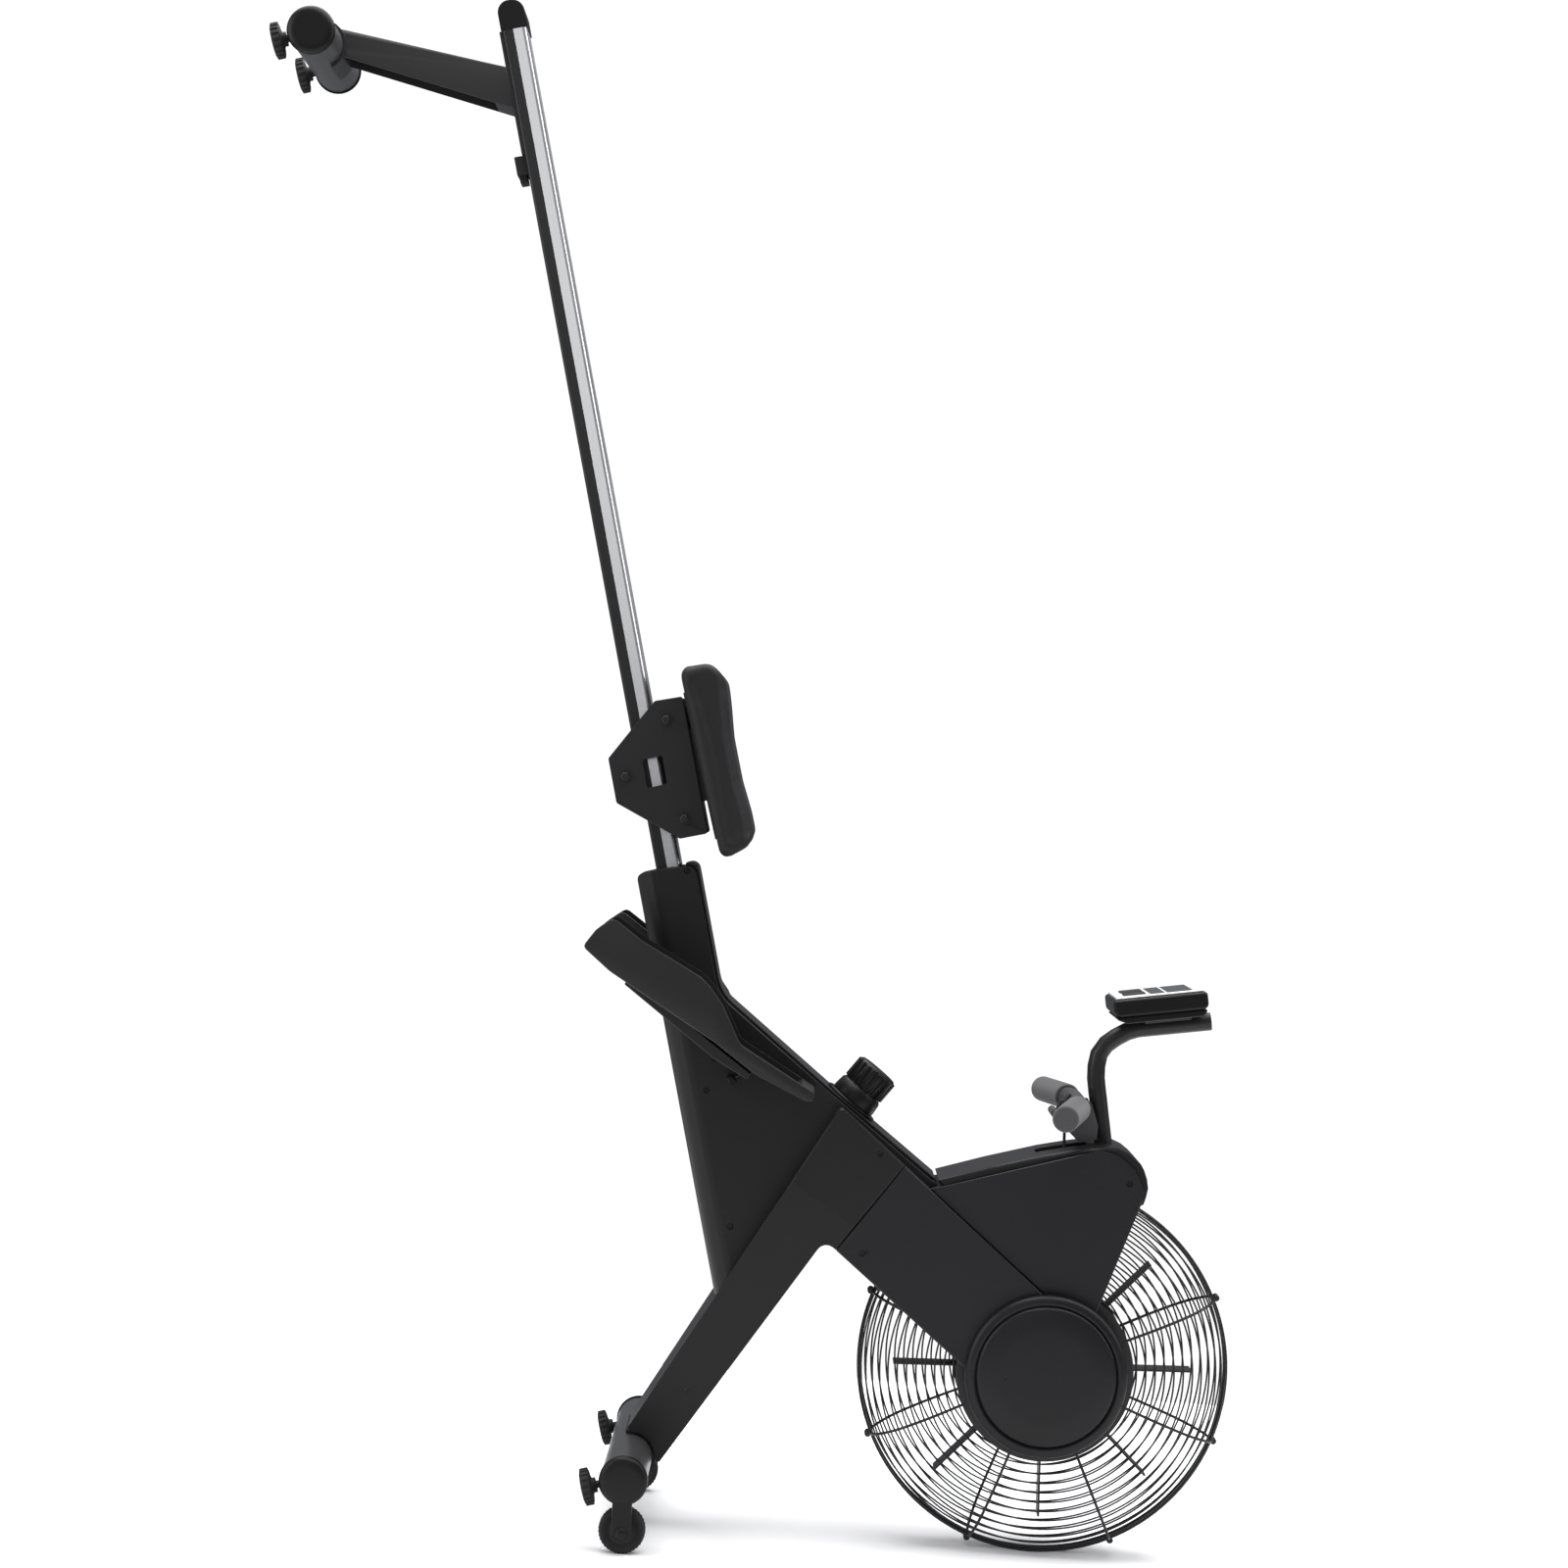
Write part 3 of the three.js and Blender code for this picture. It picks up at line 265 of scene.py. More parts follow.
class Shaper:
    """A geometry nodes tree with named inputs, run once on a mesh."""

    kinds = {int: "Int", float: "Float", Vector: "Vector", bpy.types.Object: "Object"}

    def __init__(self, name, **inputs):
        self.tree = bpy.data.node_groups.new(name, "GeometryNodeTree")
        face = self.tree.interface
        face.new_socket("Geometry", in_out="INPUT", socket_type="NodeSocketGeometry")
        self.names = {}
        for label, kind in {**inputs, "look": bpy.types.Material}.items():
            socket = "NodeSocket" + self.kinds.get(kind, "Material")
            made = face.new_socket(label, in_out="INPUT", socket_type=socket)
            self.names[label] = made.identifier
        face.new_socket("Geometry", in_out="OUTPUT", socket_type="NodeSocketGeometry")
        self.entry = self.tree.nodes.new("NodeGroupInput")
        self.exit = self.tree.nodes.new("NodeGroupOutput")

    def given(self, label="Geometry"):
        return self.entry.outputs[label]

    def node(self, kind, sockets, output=0, **settings):
        made = self.tree.nodes.new(kind)
        for label, value in settings.items():
            setattr(made, label, value)
        for label, value in sockets.items():
            if isinstance(value, bpy.types.NodeSocket):
                self.tree.links.new(value, made.inputs[label])
            else:
                made.inputs[label].default_value = value
        return made.outputs[output]

    def together(self, *shapes):
        made = self.tree.nodes.new("GeometryNodeJoinGeometry")
        for shape in reversed(shapes):
            self.tree.links.new(shape, made.inputs[0])
        return made.outputs[0]

    def close(self, shape):
        real = self.node("GeometryNodeRealizeInstances", {"Geometry": shape})
        sockets = {"Geometry": real, "Material": self.given("look")}
        done = self.node("GeometryNodeSetMaterial", sockets)
        self.tree.links.new(done, self.exit.inputs[0])

    def run(self, piece, **values):
        step = piece.modifiers.new(self.tree.name, "NODES")
        step.node_group = self.tree
        for label, value in values.items():
            step[self.names[label]] = value
        plain_mesh(piece)
        return piece


def wire_cage_tree():
    shaper = Shaper(
        "wire_cage", rings=int, spokes=int, ring_wire=float, spoke_wire=float, turn=float
    )
    line = shaper.node("GeometryNodeMeshToCurve", {"Mesh": shaper.given()})
    sockets = {"Curve": line, "Count": shaper.given("rings")}
    marks = shaper.node("GeometryNodeResampleCurve", sockets)
    where = shaper.node("GeometryNodeInputPosition", {})
    apart = shaper.node("ShaderNodeSeparateXYZ", {"Vector": where})
    height = shaper.node("ShaderNodeSeparateXYZ", {"Vector": where}, 2)
    kept = shaper.tree.nodes.new("GeometryNodeCaptureAttribute")
    kept.capture_items.new("FLOAT", "reach")
    shaper.tree.links.new(marks, kept.inputs["Geometry"])
    shaper.tree.links.new(apart, kept.inputs[1])
    middle = shaper.node("ShaderNodeCombineXYZ", {"Z": height})
    sockets = {"Geometry": kept.outputs["Geometry"], "Position": middle}
    centred = shaper.node("GeometryNodeSetPosition", sockets)
    hoop = shaper.node("GeometryNodeCurvePrimitiveCircle", {"Resolution": 128, "Radius": 1.0})
    reach = kept.outputs[1]
    size = shaper.node("ShaderNodeCombineXYZ", {"X": reach, "Y": reach, "Z": reach})
    sockets = {"Points": centred, "Instance": hoop, "Scale": size}
    hoops = shaper.node("GeometryNodeInstanceOnPoints", sockets)
    hoops = shaper.node("GeometryNodeRealizeInstances", {"Geometry": hoops})
    thin = shaper.node(
        "GeometryNodeCurvePrimitiveCircle",
        {"Resolution": 8, "Radius": shaper.given("ring_wire")},
    )
    rings = shaper.node("GeometryNodeCurveToMesh", {"Curve": hoops, "Profile Curve": thin})
    spots = shaper.node("GeometryNodePoints", {"Count": shaper.given("spokes")})
    order = shaper.node("GeometryNodeInputIndex", {})
    step = shaper.node(
        "ShaderNodeMath", {0: 2 * math.pi, 1: shaper.given("spokes")}, operation="DIVIDE"
    )
    angle = shaper.node(
        "ShaderNodeMath", {0: order, 1: step, 2: shaper.given("turn")}, operation="MULTIPLY_ADD"
    )
    spin = shaper.node("ShaderNodeCombineXYZ", {"Z": angle})
    sockets = {"Points": spots, "Instance": line, "Rotation": spin}
    arms = shaper.node("GeometryNodeInstanceOnPoints", sockets)
    arms = shaper.node("GeometryNodeRealizeInstances", {"Geometry": arms})
    thick = shaper.node(
        "GeometryNodeCurvePrimitiveCircle",
        {"Resolution": 10, "Radius": shaper.given("spoke_wire")},
    )
    sockets = {"Curve": arms, "Profile Curve": thick, "Fill Caps": True}
    spokes = shaper.node("GeometryNodeCurveToMesh", sockets)
    shaper.close(shaper.together(rings, spokes))
    return shaper


def smooth_line(points, steps):
    """Points of a smooth line through the corners given."""
    corners = [Vector(point) for point in points]
    corners = [2 * corners[0] - corners[1], *corners, 2 * corners[-1] - corners[-2]]
    line = []
    for a, b, c, d in zip(corners, corners[1:], corners[2:], corners[3:]):
        for step in range(steps):
            t = step / steps
            bend = (2 * a - 5 * b + 4 * c - d) * t * t + (3 * b - a - 3 * c + d) * t**3
            line.append(0.5 * (2 * b + (c - a) * t + bend))
    line.append(corners[-2])
    return line


def new_piece(name, vertices, faces, edges=(), placing=None, angle=32):
    mesh = bpy.data.meshes.new(name)
    mesh.from_pydata([tuple(v) for v in vertices], list(edges), list(faces))
    if placing:
        mesh.transform(placing)
    mesh.update()
    if faces:
        work = bmesh.new()
        work.from_mesh(mesh)
        bmesh.ops.recalc_face_normals(work, faces=work.faces)
        work.to_mesh(mesh)
        work.free()
        mesh.shade_smooth()
        mesh.set_sharp_from_angle(angle=math.radians(angle))
    piece = bpy.data.objects.new(name, mesh)
    bpy.context.scene.collection.objects.link(piece)
    return piece


def facing(base, axis):
    """A placing that stands a shape's own up along an axis, at a base, on the machine."""
    turn = Vector((0, 0, 1)).rotation_difference(Vector(axis).normalized())
    return STAND @ Matrix.Translation(Vector(base)) @ turn.to_matrix().to_4x4()


def turned(name, profile, base, axis, around=72, angle=32, closed=False):
    """A turned piece: profile (radius, along) about an axis from a base point."""
    vertices, faces, rings = [], [], []
    for radius, along in profile:
        if radius < 1e-6:
            rings.append([len(vertices)])
            vertices.append((0, 0, along))
            continue
        ring = []
        for k in range(around):
            turn = 2 * math.pi * k / around
            ring.append(len(vertices))
            vertices.append((radius * math.cos(turn), radius * math.sin(turn), along))
        rings.append(ring)
    pairs = list(zip(rings, rings[1:]))
    if closed:
        pairs.append((rings[-1], rings[0]))
    for low, high in pairs:
        for k in range(around):
            n = (k + 1) % around
            corners = [low[k % len(low)], low[n % len(low)]]
            corners += [high[n % len(high)], high[k % len(high)]]
            face = list(dict.fromkeys(corners))
            if len(face) > 2:
                faces.append(face)
    return new_piece(name, vertices, faces, placing=facing(base, axis), angle=angle)


def merge(first, *others):
    """Joins pieces into the first one."""
    work = bmesh.new()
    for piece in (first, *others):
        work.from_mesh(piece.data)
    work.to_mesh(first.data)
    work.free()
    for piece in others:
        bpy.data.objects.remove(piece)
    return first


wire_cage = wire_cage_tree()
cage_coat = powder_coat("cage_wire_coat", (0.0125, 0.012, 0.0135), 0.34)
for side_name, side in SIDES.items():
    line = [(p.x / 1000, 0, p.y / 1000) for p in smooth_line([(*p, 0) for p in CAGE_PROFILE], 8)]
    links = [(k, k + 1) for k in range(len(line) - 1)]
    wires = new_piece("cage_" + side_name, line, (), links)
    wire_cage.run(
        wires,
        rings=CAGE_RINGS,
        spokes=CAGE_SPOKES,
        ring_wire=RING_WIRE / 1000,
        spoke_wire=SPOKE_WIRE / 1000,
        turn=FIRST_SPOKE if side > 0 else -FIRST_SPOKE,
        look=cage_coat,
    )
    out = (0, side, 0)
    scale = Matrix.Scale(1000, 4)
    turn = Matrix(((1, 0, 0), (0, 0, side), (0, -side, 0))).to_4x4()
    wires.data.transform(STAND @ Matrix.Translation(Vector(FAN)) @ turn @ scale)
    hub_plate = turned("plate", HUB_PLATE, FAN, out, 96, closed=True)
    rim = []
    for k in range(RIM_SIDES):
        a = 2 * math.pi * k / RIM_SIDES
        rim.append((RIM_REACH + RIM_WIRE * math.cos(a), RIM_LIFT + RIM_WIRE * math.sin(a)))
    hoop = turned("hoop", rim, FAN, out, 160, closed=True, angle=60)
    wires.data.shade_smooth()
    merge(wires, hub_plate, hoop)
    stands_for(wires, cage_coat, "cage_wire", "cage_shell_" + side_name)


def part_only(piece):
    """Keeps a pattern part out of sight; its copies show."""
    piece.hide_render = True
    piece.hide_viewport = True
    return piece


def local_part(name, profile, around):
    """A small turned part, in metres, about its own up."""
    made = turned(name, profile, (0, 0, 0), (0, 0, 1), around)
    made.data.transform(Matrix.Scale(0.001, 4) @ STAND.inverted())
    return made


def ring_of_parts_tree():
    """Adds a ring of one part to a mesh, each turned to face outwards."""
    shaper = Shaper("ring_of_parts", part=bpy.types.Object, count=int, reach=float, lift=float)
    spots = shaper.node("GeometryNodePoints", {"Count": shaper.given("count")})
    order = shaper.node("GeometryNodeInputIndex", {})
    step = shaper.node(
        "ShaderNodeMath", {0: 2 * math.pi, 1: shaper.given("count")}, operation="DIVIDE"
    )
    angle = shaper.node("ShaderNodeMath", {0: order, 1: step}, operation="MULTIPLY")
    across = shaper.node("ShaderNodeMath", {0: angle}, operation="COSINE")
    along = shaper.node("ShaderNodeMath", {0: angle}, operation="SINE")
    way = shaper.node("ShaderNodeCombineXYZ", {"X": across, "Y": along})
    sockets = {0: way, "Scale": shaper.given("reach")}
    reach = shaper.node("ShaderNodeVectorMath", sockets, operation="SCALE")
    lift = shaper.node("ShaderNodeCombineXYZ", {"Z": shaper.given("lift")})
    place = shaper.node("ShaderNodeVectorMath", {0: reach, 1: lift}, operation="ADD")
    spots = shaper.node("GeometryNodeSetPosition", {"Geometry": spots, "Position": place})
    turn = shaper.node("ShaderNodeCombineXYZ", {"Z": angle})
    part = shaper.node(
        "GeometryNodeObjectInfo", {"Object": shaper.given("part")}, "Geometry"
    )
    sockets = {"Points": spots, "Instance": part, "Rotation": turn}
    ring = shaper.node("GeometryNodeInstanceOnPoints", sockets)
    shaper.close(shaper.together(shaper.given(), ring))
    return shaper


ring_of = ring_of_parts_tree()


CLIP_PROFILE = [(0, -9), (3.6, -9), (4.6, -8), (4.6, -5), (3, -5)]
CLIP_PROFILE += [(3, 5), (4.6, 5), (4.6, 8), (3.6, 9), (0, 9)]
clip = local_part("clip", CLIP_PROFILE, 16)
part_only(clip)
clips = new_piece("cage_clips", (), ())
ring_of.run(clips, part=clip, count=CAGE_SPOKES, reach=CLIP_REACH, lift=0.0, look=cage_coat)
clips.data.transform(
    facing(FAN, (0, 1, 0)) @ Matrix.Rotation(FIRST_SPOKE, 4, "Z") @ Matrix.Scale(1000, 4)
)
paint(clips, cage_coat)
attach(clips, "frame")


# ------------------------------------------------------------------ body, boom, leg and arm covers
# The covers are thick satin charcoal mouldings with rounded edges and a fine moulded grain.
# They are screwed together from each side, so black screws sit in small wells; the screws are painted
# near black, darker than their own black, as painted shade of those wells.
def moulding(name, colour, gloss, grain=0.0008, depth=0.00004):
    look = Finish(name, Specular_IOR_Level=0.18)
    cloud = look.noise(0.4, 3.0)
    speck = look.noise(grain, 1.5)
    look.feed("Base Color", look.tones(shade(colour, 0.86), shade(colour, 1.16), cloud))
    look.feed("Roughness", cloud * 0.1 + speck * 0.1 + (gloss - 0.1))
    look.feed("Normal", look.relief(speck, depth))
    return look.material


charcoal = moulding("charcoal_moulding", (0.0085, 0.0085, 0.0088), 0.4)
dusk = moulding("dark_violet_moulding", (0.0092, 0.0083, 0.0095), 0.42)
jet = moulding("jet_moulding", (0.0038, 0.0038, 0.004), 0.38)
covers = {
    "body_cover_right": charcoal,
    "body_cover_left": charcoal,
    "leg_beam": charcoal,
    "boom_cover_right": dusk,
    "boom_cover_left": dusk,
    "arm_cover_right": dusk,
    "arm_cover_left": dusk,
    "arm_trim": charcoal,
    "post_trim": charcoal,
}
for part, look in covers.items():
    dress(part, look, "charcoal_panel")


def parts_on_points_tree():
    """Sets a part on every vertex of the mesh given, facing one way."""
    shaper = Shaper("parts_on_points", part=bpy.types.Object, way=Vector)
    sockets = {"Vector": shaper.given("way")}
    turn = shaper.node("FunctionNodeAlignRotationToVector", sockets, axis="Z")
    part = shaper.node(
        "GeometryNodeObjectInfo", {"Object": shaper.given("part")}, "Geometry"
    )
    sockets = {"Points": shaper.given(), "Instance": part, "Rotation": turn}
    shaper.close(shaper.node("GeometryNodeInstanceOnPoints", sockets))
    return shaper


def pattern_part(name, profile, around):
    """A small turned part whose copies are set out by the geometry nodes."""
    return part_only(local_part(name, profile, around))


on_points = parts_on_points_tree()
screw_head = pattern_part(
    "screw_head",
    [(0, 0.2), (1.5, 0.2), (1.5, 1.2), (3.0, 1.2), (3.7, 0.7), (3.8, -1.5), (0, -1.5)],
    24,
)


def row_of(part, name, points, way, look, smooth=32):
    """Copies of a pattern part at points on the machine, facing a way on the machine."""
    spots = new_piece(name, [STAND @ Vector(p) for p in points], ())
    away = (STAND.to_3x3() @ Vector(way)).normalized()
    on_points.run(spots, part=part, way=away, look=look)
    spots.data.shade_smooth()
    spots.data.set_sharp_from_angle(angle=math.radians(smooth))
    return spots


COVER_SCREWS = {
    "body_screws": (56.6, ((-762, 303), (-464, 265), (-276, 257))),
    "boom_screws": (86.8, ((-206, 425), (-206, 433), (-332, 478))),
    "leg_screws": (70.6, ((-73, 154),)),
    "arm_screws": (78.6, ((-219, 800),)),
}
# Painted shade: the screws' near-black colour stands for the dark wells they sit in, on top of their
# own black finish.
screw_well_shade = powder_coat("screw_black_with_painted_shade", (0.0012, 0.0012, 0.0013), 0.3)
for side_name, side in SIDES.items():
    for name, (out, places) in COVER_SCREWS.items():
        points = [(x, side * out, z) for x, z in places]
        screws = row_of(screw_head, f"{name}_{side_name}", points, (0, side, 0), screw_well_shade)
        paint(screws, screw_well_shade)
        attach(screws, "frame")


# ------------------------------------------------------------------ hub covers
# A round black cover closes each end of the fan's axle: a raised outer ring, a groove and a
# plain domed disc, with one small plug over the service hole.
HUB_OUT = 88.3
HUB_CROWN = 19.2
PLUG_AT = (-2, 578)
HUB_PROFILE = [
    (0, 11),
    (90, 11),
    (94, 0.2),
    (108.5, 0.2),
    (110, 1.6),
    (110, 8.6),
    (108.6, 11.2),
    (105, 14.2),
    (99.5, 15.4),
    (97.4, 14.6),
    (96.4, 11.8),
    (95.4, 12.2),
    (94.4, 15.2),
    (92.6, 17),
    (89, 18.4),
    (60, 19.2),
    (0, 19.8),
]
hub_moulding = moulding("hub_moulding", (0.0075, 0.0068, 0.0078), 0.36)
plug = pattern_part("plug", [(0, 1.0), (2.6, 0.9), (3.4, 0), (0, 0)], 24)
for side_name, side in SIDES.items():
    hub = turned("hub_" + side_name, HUB_PROFILE, (FAN[0], side * HUB_OUT, FAN[2]), (0, side, 0), 128)
    stands_for(hub, hub_moulding, "black_plastic", "hub_cover_" + side_name)
    spot = [(PLUG_AT[0], side * (HUB_OUT + HUB_CROWN), PLUG_AT[1])]
    cap = row_of(plug, "hub_plug_" + side_name, spot, (0, side, 0), jet)
    paint(cap, jet)
    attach(cap, "frame")


# ------------------------------------------------------------------ rail
# A black steel tube carries a folded stainless track, brushed along its length, that the
# seat's rollers run on. A domed black cap closes the far end and a rubber stop sits below.
RAIL_TILT = -math.asin(0.252448)


def brushed(name, colour):
    look = Finish(name, Metallic=1.0, Anisotropic=0.55)
    settings = {"vector_type": "TEXTURE"}
    sockets = {
        "Vector": look.place,
        "Rotation": (0, RAIL_TILT, 0),
        "Scale": (0.0005, 0.0005, 0.12),
    }
    along = look.node("Mapping", settings, sockets)
    streak = look.noise(1.0, 3.0, along)
    cloud = look.noise(0.3, 2.0)
    look.feed("Base Color", look.tones(shade(colour, 0.86), shade(colour, 1.1), streak))
    look.feed("Roughness", streak * 0.16 + cloud * 0.06 + 0.17)
    look.feed("Normal", look.relief(streak, 0.000012))
    return look.material


stainless = brushed("brushed_stainless", (0.66, 0.66, 0.665))
dress("rail_track", stainless, "brushed_steel", edge=0.3)
dress("rail_tube", black_coat, "black_steel")
dress("rail_end_cap", jet, "black_plastic", angle=40)
dress("rear_beam", powder_coat("beam_coat", (0.016, 0.016, 0.0165), 0.4), "black_steel", edge=0.6)


def moulded_rubber(name, colour):
    look = Finish(name, Specular_IOR_Level=0.3)
    cloud = look.noise(0.03, 3.0)
    speck = look.noise(0.0011, 2.0)
    look.feed("Base Color", look.tones(shade(colour, 0.75), shade(colour, 1.3), cloud))
    look.feed("Roughness", cloud * 0.14 + speck * 0.08 + 0.58)
    look.feed("Normal", look.relief(speck, 0.00006))
    return look.material


rubber = moulded_rubber("black_rubber", (0.0085, 0.0085, 0.0085))
dress("rail_stop", rubber, "black_rubber", edge=1.2)


# ------------------------------------------------------------------ crossbars and end caps
# Each end stands on a thick round steel tube. Moulded caps close the tubes, and the front
# ones carry an arm with the pin of a transport wheel.
BAR = 30.5
BAR_WALL = 2.5
CAP_SEAT = 13.3
CROSSBARS = {
    "rear": ((-1972, 54.6), 152, 122),
    "front": ((0, 56.3), 240, 215),
}
bar_coat = powder_coat("grey_powder_coat", (0.04, 0.04, 0.0415), 0.34)
for end, (at, half, _) in CROSSBARS.items():
    length = half - CAP_SEAT
    bore = BAR - BAR_WALL
    profile = [(bore, 0), (BAR, 0), (BAR, 2 * length), (bore, 2 * length)]
    tube = turned("tube_" + end, profile, (at[0], -length, at[1]), (0, 1, 0), 96, closed=True)
    stands_for(tube, bar_coat, "grey_steel", end + "_crossbar")
CAP_PROFILE = [(0, 0), (19, 0), (25, -0.7), (29.5, -2.4), (31.8, -5), (32.5, -8), (32.5, -13)]
CAP_PROFILE += [(27.5, -13), (27.5, -18), (0, -18)]
WHEEL_AT = (66, 39)
ARM_HALF = 13
ARM_IN = 229
ARM_OUT = 238
PIN_AT = 230


def plate(name, outline, low, high, edge=0.0, smooth=32):
    """A flat piece with the side outline given, from one side height to another."""
    count = len(outline)
    vertices = [(x, low, z) for x, z in outline] + [(x, high, z) for x, z in outline]
    faces = [list(range(count)), list(range(count, 2 * count))[::-1]]
    faces += [[k, (k + 1) % count, (k + 1) % count + count, k + count] for k in range(count)]
    made = new_piece(name, vertices, faces, placing=STAND, angle=smooth)
    if edge:
        soften(made, edge)
    return made


def circle_part(centre, radius, start, end, steps):
    """Points on part of a circle in the side view, between two angles in degrees."""
    points = []
    for k in range(steps + 1):
        turn = math.radians(start + (end - start) * k / steps)
        points.append((centre[0] + radius * math.cos(turn), centre[1] + radius * math.sin(turn)))
    return points


for side_name, side in SIDES.items():
    for end, (at, half, _) in CROSSBARS.items():
        base = (at[0], side * half, at[1])
        cap = turned(f"{end}_cap_{side_name}_moulding", CAP_PROFILE, base, (0, side, 0), 96)
        if end == "front":
            slope = math.degrees(math.atan2(WHEEL_AT[1] - at[1], WHEEL_AT[0] - at[0]))
            outline = circle_part(WHEEL_AT, ARM_HALF, slope - 90, slope + 90, 20)
            outline += circle_part(at, ARM_HALF, slope + 90, slope + 270, 20)
            low, high = sorted((side * ARM_OUT, side * ARM_IN))
            arm = plate("arm", outline, low, high, 1.5)
            profile = [(0, 8), (5, 8), (5, 22), (8, 22), (8, 27), (5, 27), (5, 33), (0, 33)]
            pin = turned("pin", profile, (WHEEL_AT[0], side * PIN_AT, WHEEL_AT[1]), (0, -side, 0), 36)
            head = [(0, 4.2), (3, 4.2), (5.6, 3.4), (7.6, 1.4), (8, 0), (0, 0)]
            bolt = turned("bolt", head, (WHEEL_AT[0], side * ARM_OUT, WHEEL_AT[1]), (0, side, 0), 36)
            merge(cap, arm, pin, bolt)
        stands_for(cap, jet, "black_plastic", f"{end}_cap_{side_name}")


# ------------------------------------------------------------------ levelling feet and wheels
# The feet are fluted black discs on threaded stems that screw into the tubes. The wheels
# have a moulded hub and a ribbed rubber tread.
def rib_part(name, deep, wide, high, edge):
    """A small rounded bar, in millimetres: deep outwards, wide around, high along."""
    half = (deep / 2, wide / 2, high / 2)
    corners = [(x, y, z) for x in (-1, 1) for y in (-1, 1) for z in (-1, 1)]
    vertices = [(x * half[0], y * half[1], z * half[2]) for x, y, z in corners]
    faces = [(0, 1, 3, 2), (4, 6, 7, 5), (0, 4, 5, 1), (2, 3, 7, 6), (0, 2, 6, 4), (1, 5, 7, 3)]
    made = new_piece(name, vertices, faces, placing=Matrix.Scale(0.001, 4))
    soften(made, edge, 2)
    return part_only(made)


def ribbed(name, profile, base, axis, part, count, reach, lift, look, around=72):
    """A turned piece with a ring of ribs, set in place on the machine."""
    made = local_part(name, profile, around)
    ring_of.run(made, part=part, count=count, reach=reach / 1000, lift=lift / 1000, look=look)
    made.data.transform(facing(base, axis) @ Matrix.Scale(1000, 4))
    made.data.shade_smooth()
    made.data.set_sharp_from_angle(angle=math.radians(34))
    return made


FOOT_PROFILE = [(0, 0), (20.5, 0), (22.8, 1), (23.2, 3), (23.2, 10), (21.5, 12.4), (14, 13.4)]
FOOT_PROFILE += [(10, 15), (10, 19), (5.4, 19.5), (5, 20.5), (5, 46), (0, 46)]
foot_rib = rib_part("foot_rib", 4.4, 3.6, 10.6, 1.0)
for side_name, side in SIDES.items():
    for end, (at, _, foot) in CROSSBARS.items():
        disc = ribbed(
            f"{end}_foot_{side_name}_disc",
            FOOT_PROFILE,
            (at[0], side * foot, 0),
            (0, 0, 1),
            foot_rib,
            20,
            22.8,
            6.4,
            rubber,
        )
        stands_for(disc, rubber, "black_rubber", f"{end}_foot_{side_name}")

WHEEL_PROFILE = [(5.4, -12), (11, -12), (12, -10.8), (20.5, -9.6), (22, -11.6), (27.2, -12)]
WHEEL_PROFILE += [(29.6, -10.6), (30.4, -7), (30.4, 7), (29.6, 10.6), (27.2, 12), (22, 11.6)]
WHEEL_PROFILE += [(20.5, 9.6), (12, 10.8), (11, 12), (5.4, 12), (5.4, -12)]
WHEEL_OUT = 209
tread_rib = rib_part("tread_rib", 1.2, 3.2, 16, 0.4)
for side_name, side in SIDES.items():
    wheel = ribbed(
        "wheel_" + side_name,
        WHEEL_PROFILE,
        (WHEEL_AT[0], side * WHEEL_OUT, WHEEL_AT[1]),
        (0, side, 0),
        tread_rib,
        36,
        30.4,
        0,
        rubber,
    )
    stands_for(wheel, rubber, "black_rubber", "transport_wheel_" + side_name)


# ------------------------------------------------------------------ seat carriage and its rollers
# Two black steel plates with a window each hang from the seat pan and hold three rubber
# rollers, two on the rail and one under it, each on a bolt.
dress("seat_carriage", black_coat, "black_steel", edge=0.4)
ROLLERS = {"rear": (-969.2, 319.7), "front": (-832.2, 315.1), "lower": (-905.5, 248.7)}
for place in ROLLERS:
    dress("seat_roller_" + place, rubber, "black_rubber", angle=40)
hex_head = pattern_part("hex_head", [(0, 4.6), (5.2, 4.6), (6.2, 4.0), (6.2, 0), (0, 0)], 6)
for side_name, side in SIDES.items():
    points = [(x, side * 66, z) for x, z in ROLLERS.values()]
    bolts = row_of(hex_head, "carriage_bolts_" + side_name, points, (0, side, 0), black_coat)
    paint(bolts, black_coat)
    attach(bolts, "seat")


# ------------------------------------------------------------------ seat pad
# The pad is dense foam under a black synthetic leather skin, dished in the middle and
# rounded at the nose, on a flat base board.
def leather(name, colour):
    look = Finish(name, Specular_IOR_Level=0.22)
    sockets = {"Vector": look.place, "Scale": 620.0, "Randomness": 0.9}
    cell = look.node("TexVoronoi", {"feature": "DISTANCE_TO_EDGE"}, sockets)
    grain = look.band(0.0, 0.28, cell)
    cloud = look.noise(0.09, 4.0)
    look.feed("Base Color", look.tones(shade(colour, 0.8), shade(colour, 1.25), cloud))
    look.feed("Roughness", 0.6 - grain * 0.14 + cloud * 0.1)
    look.feed("Normal", look.relief(grain, 0.00009, look.relief(cloud, 0.0006)))
    return look.material


pad_skin = leather("pad_skin", (0.0085, 0.0085, 0.009))
PAD_CAP = 0.004


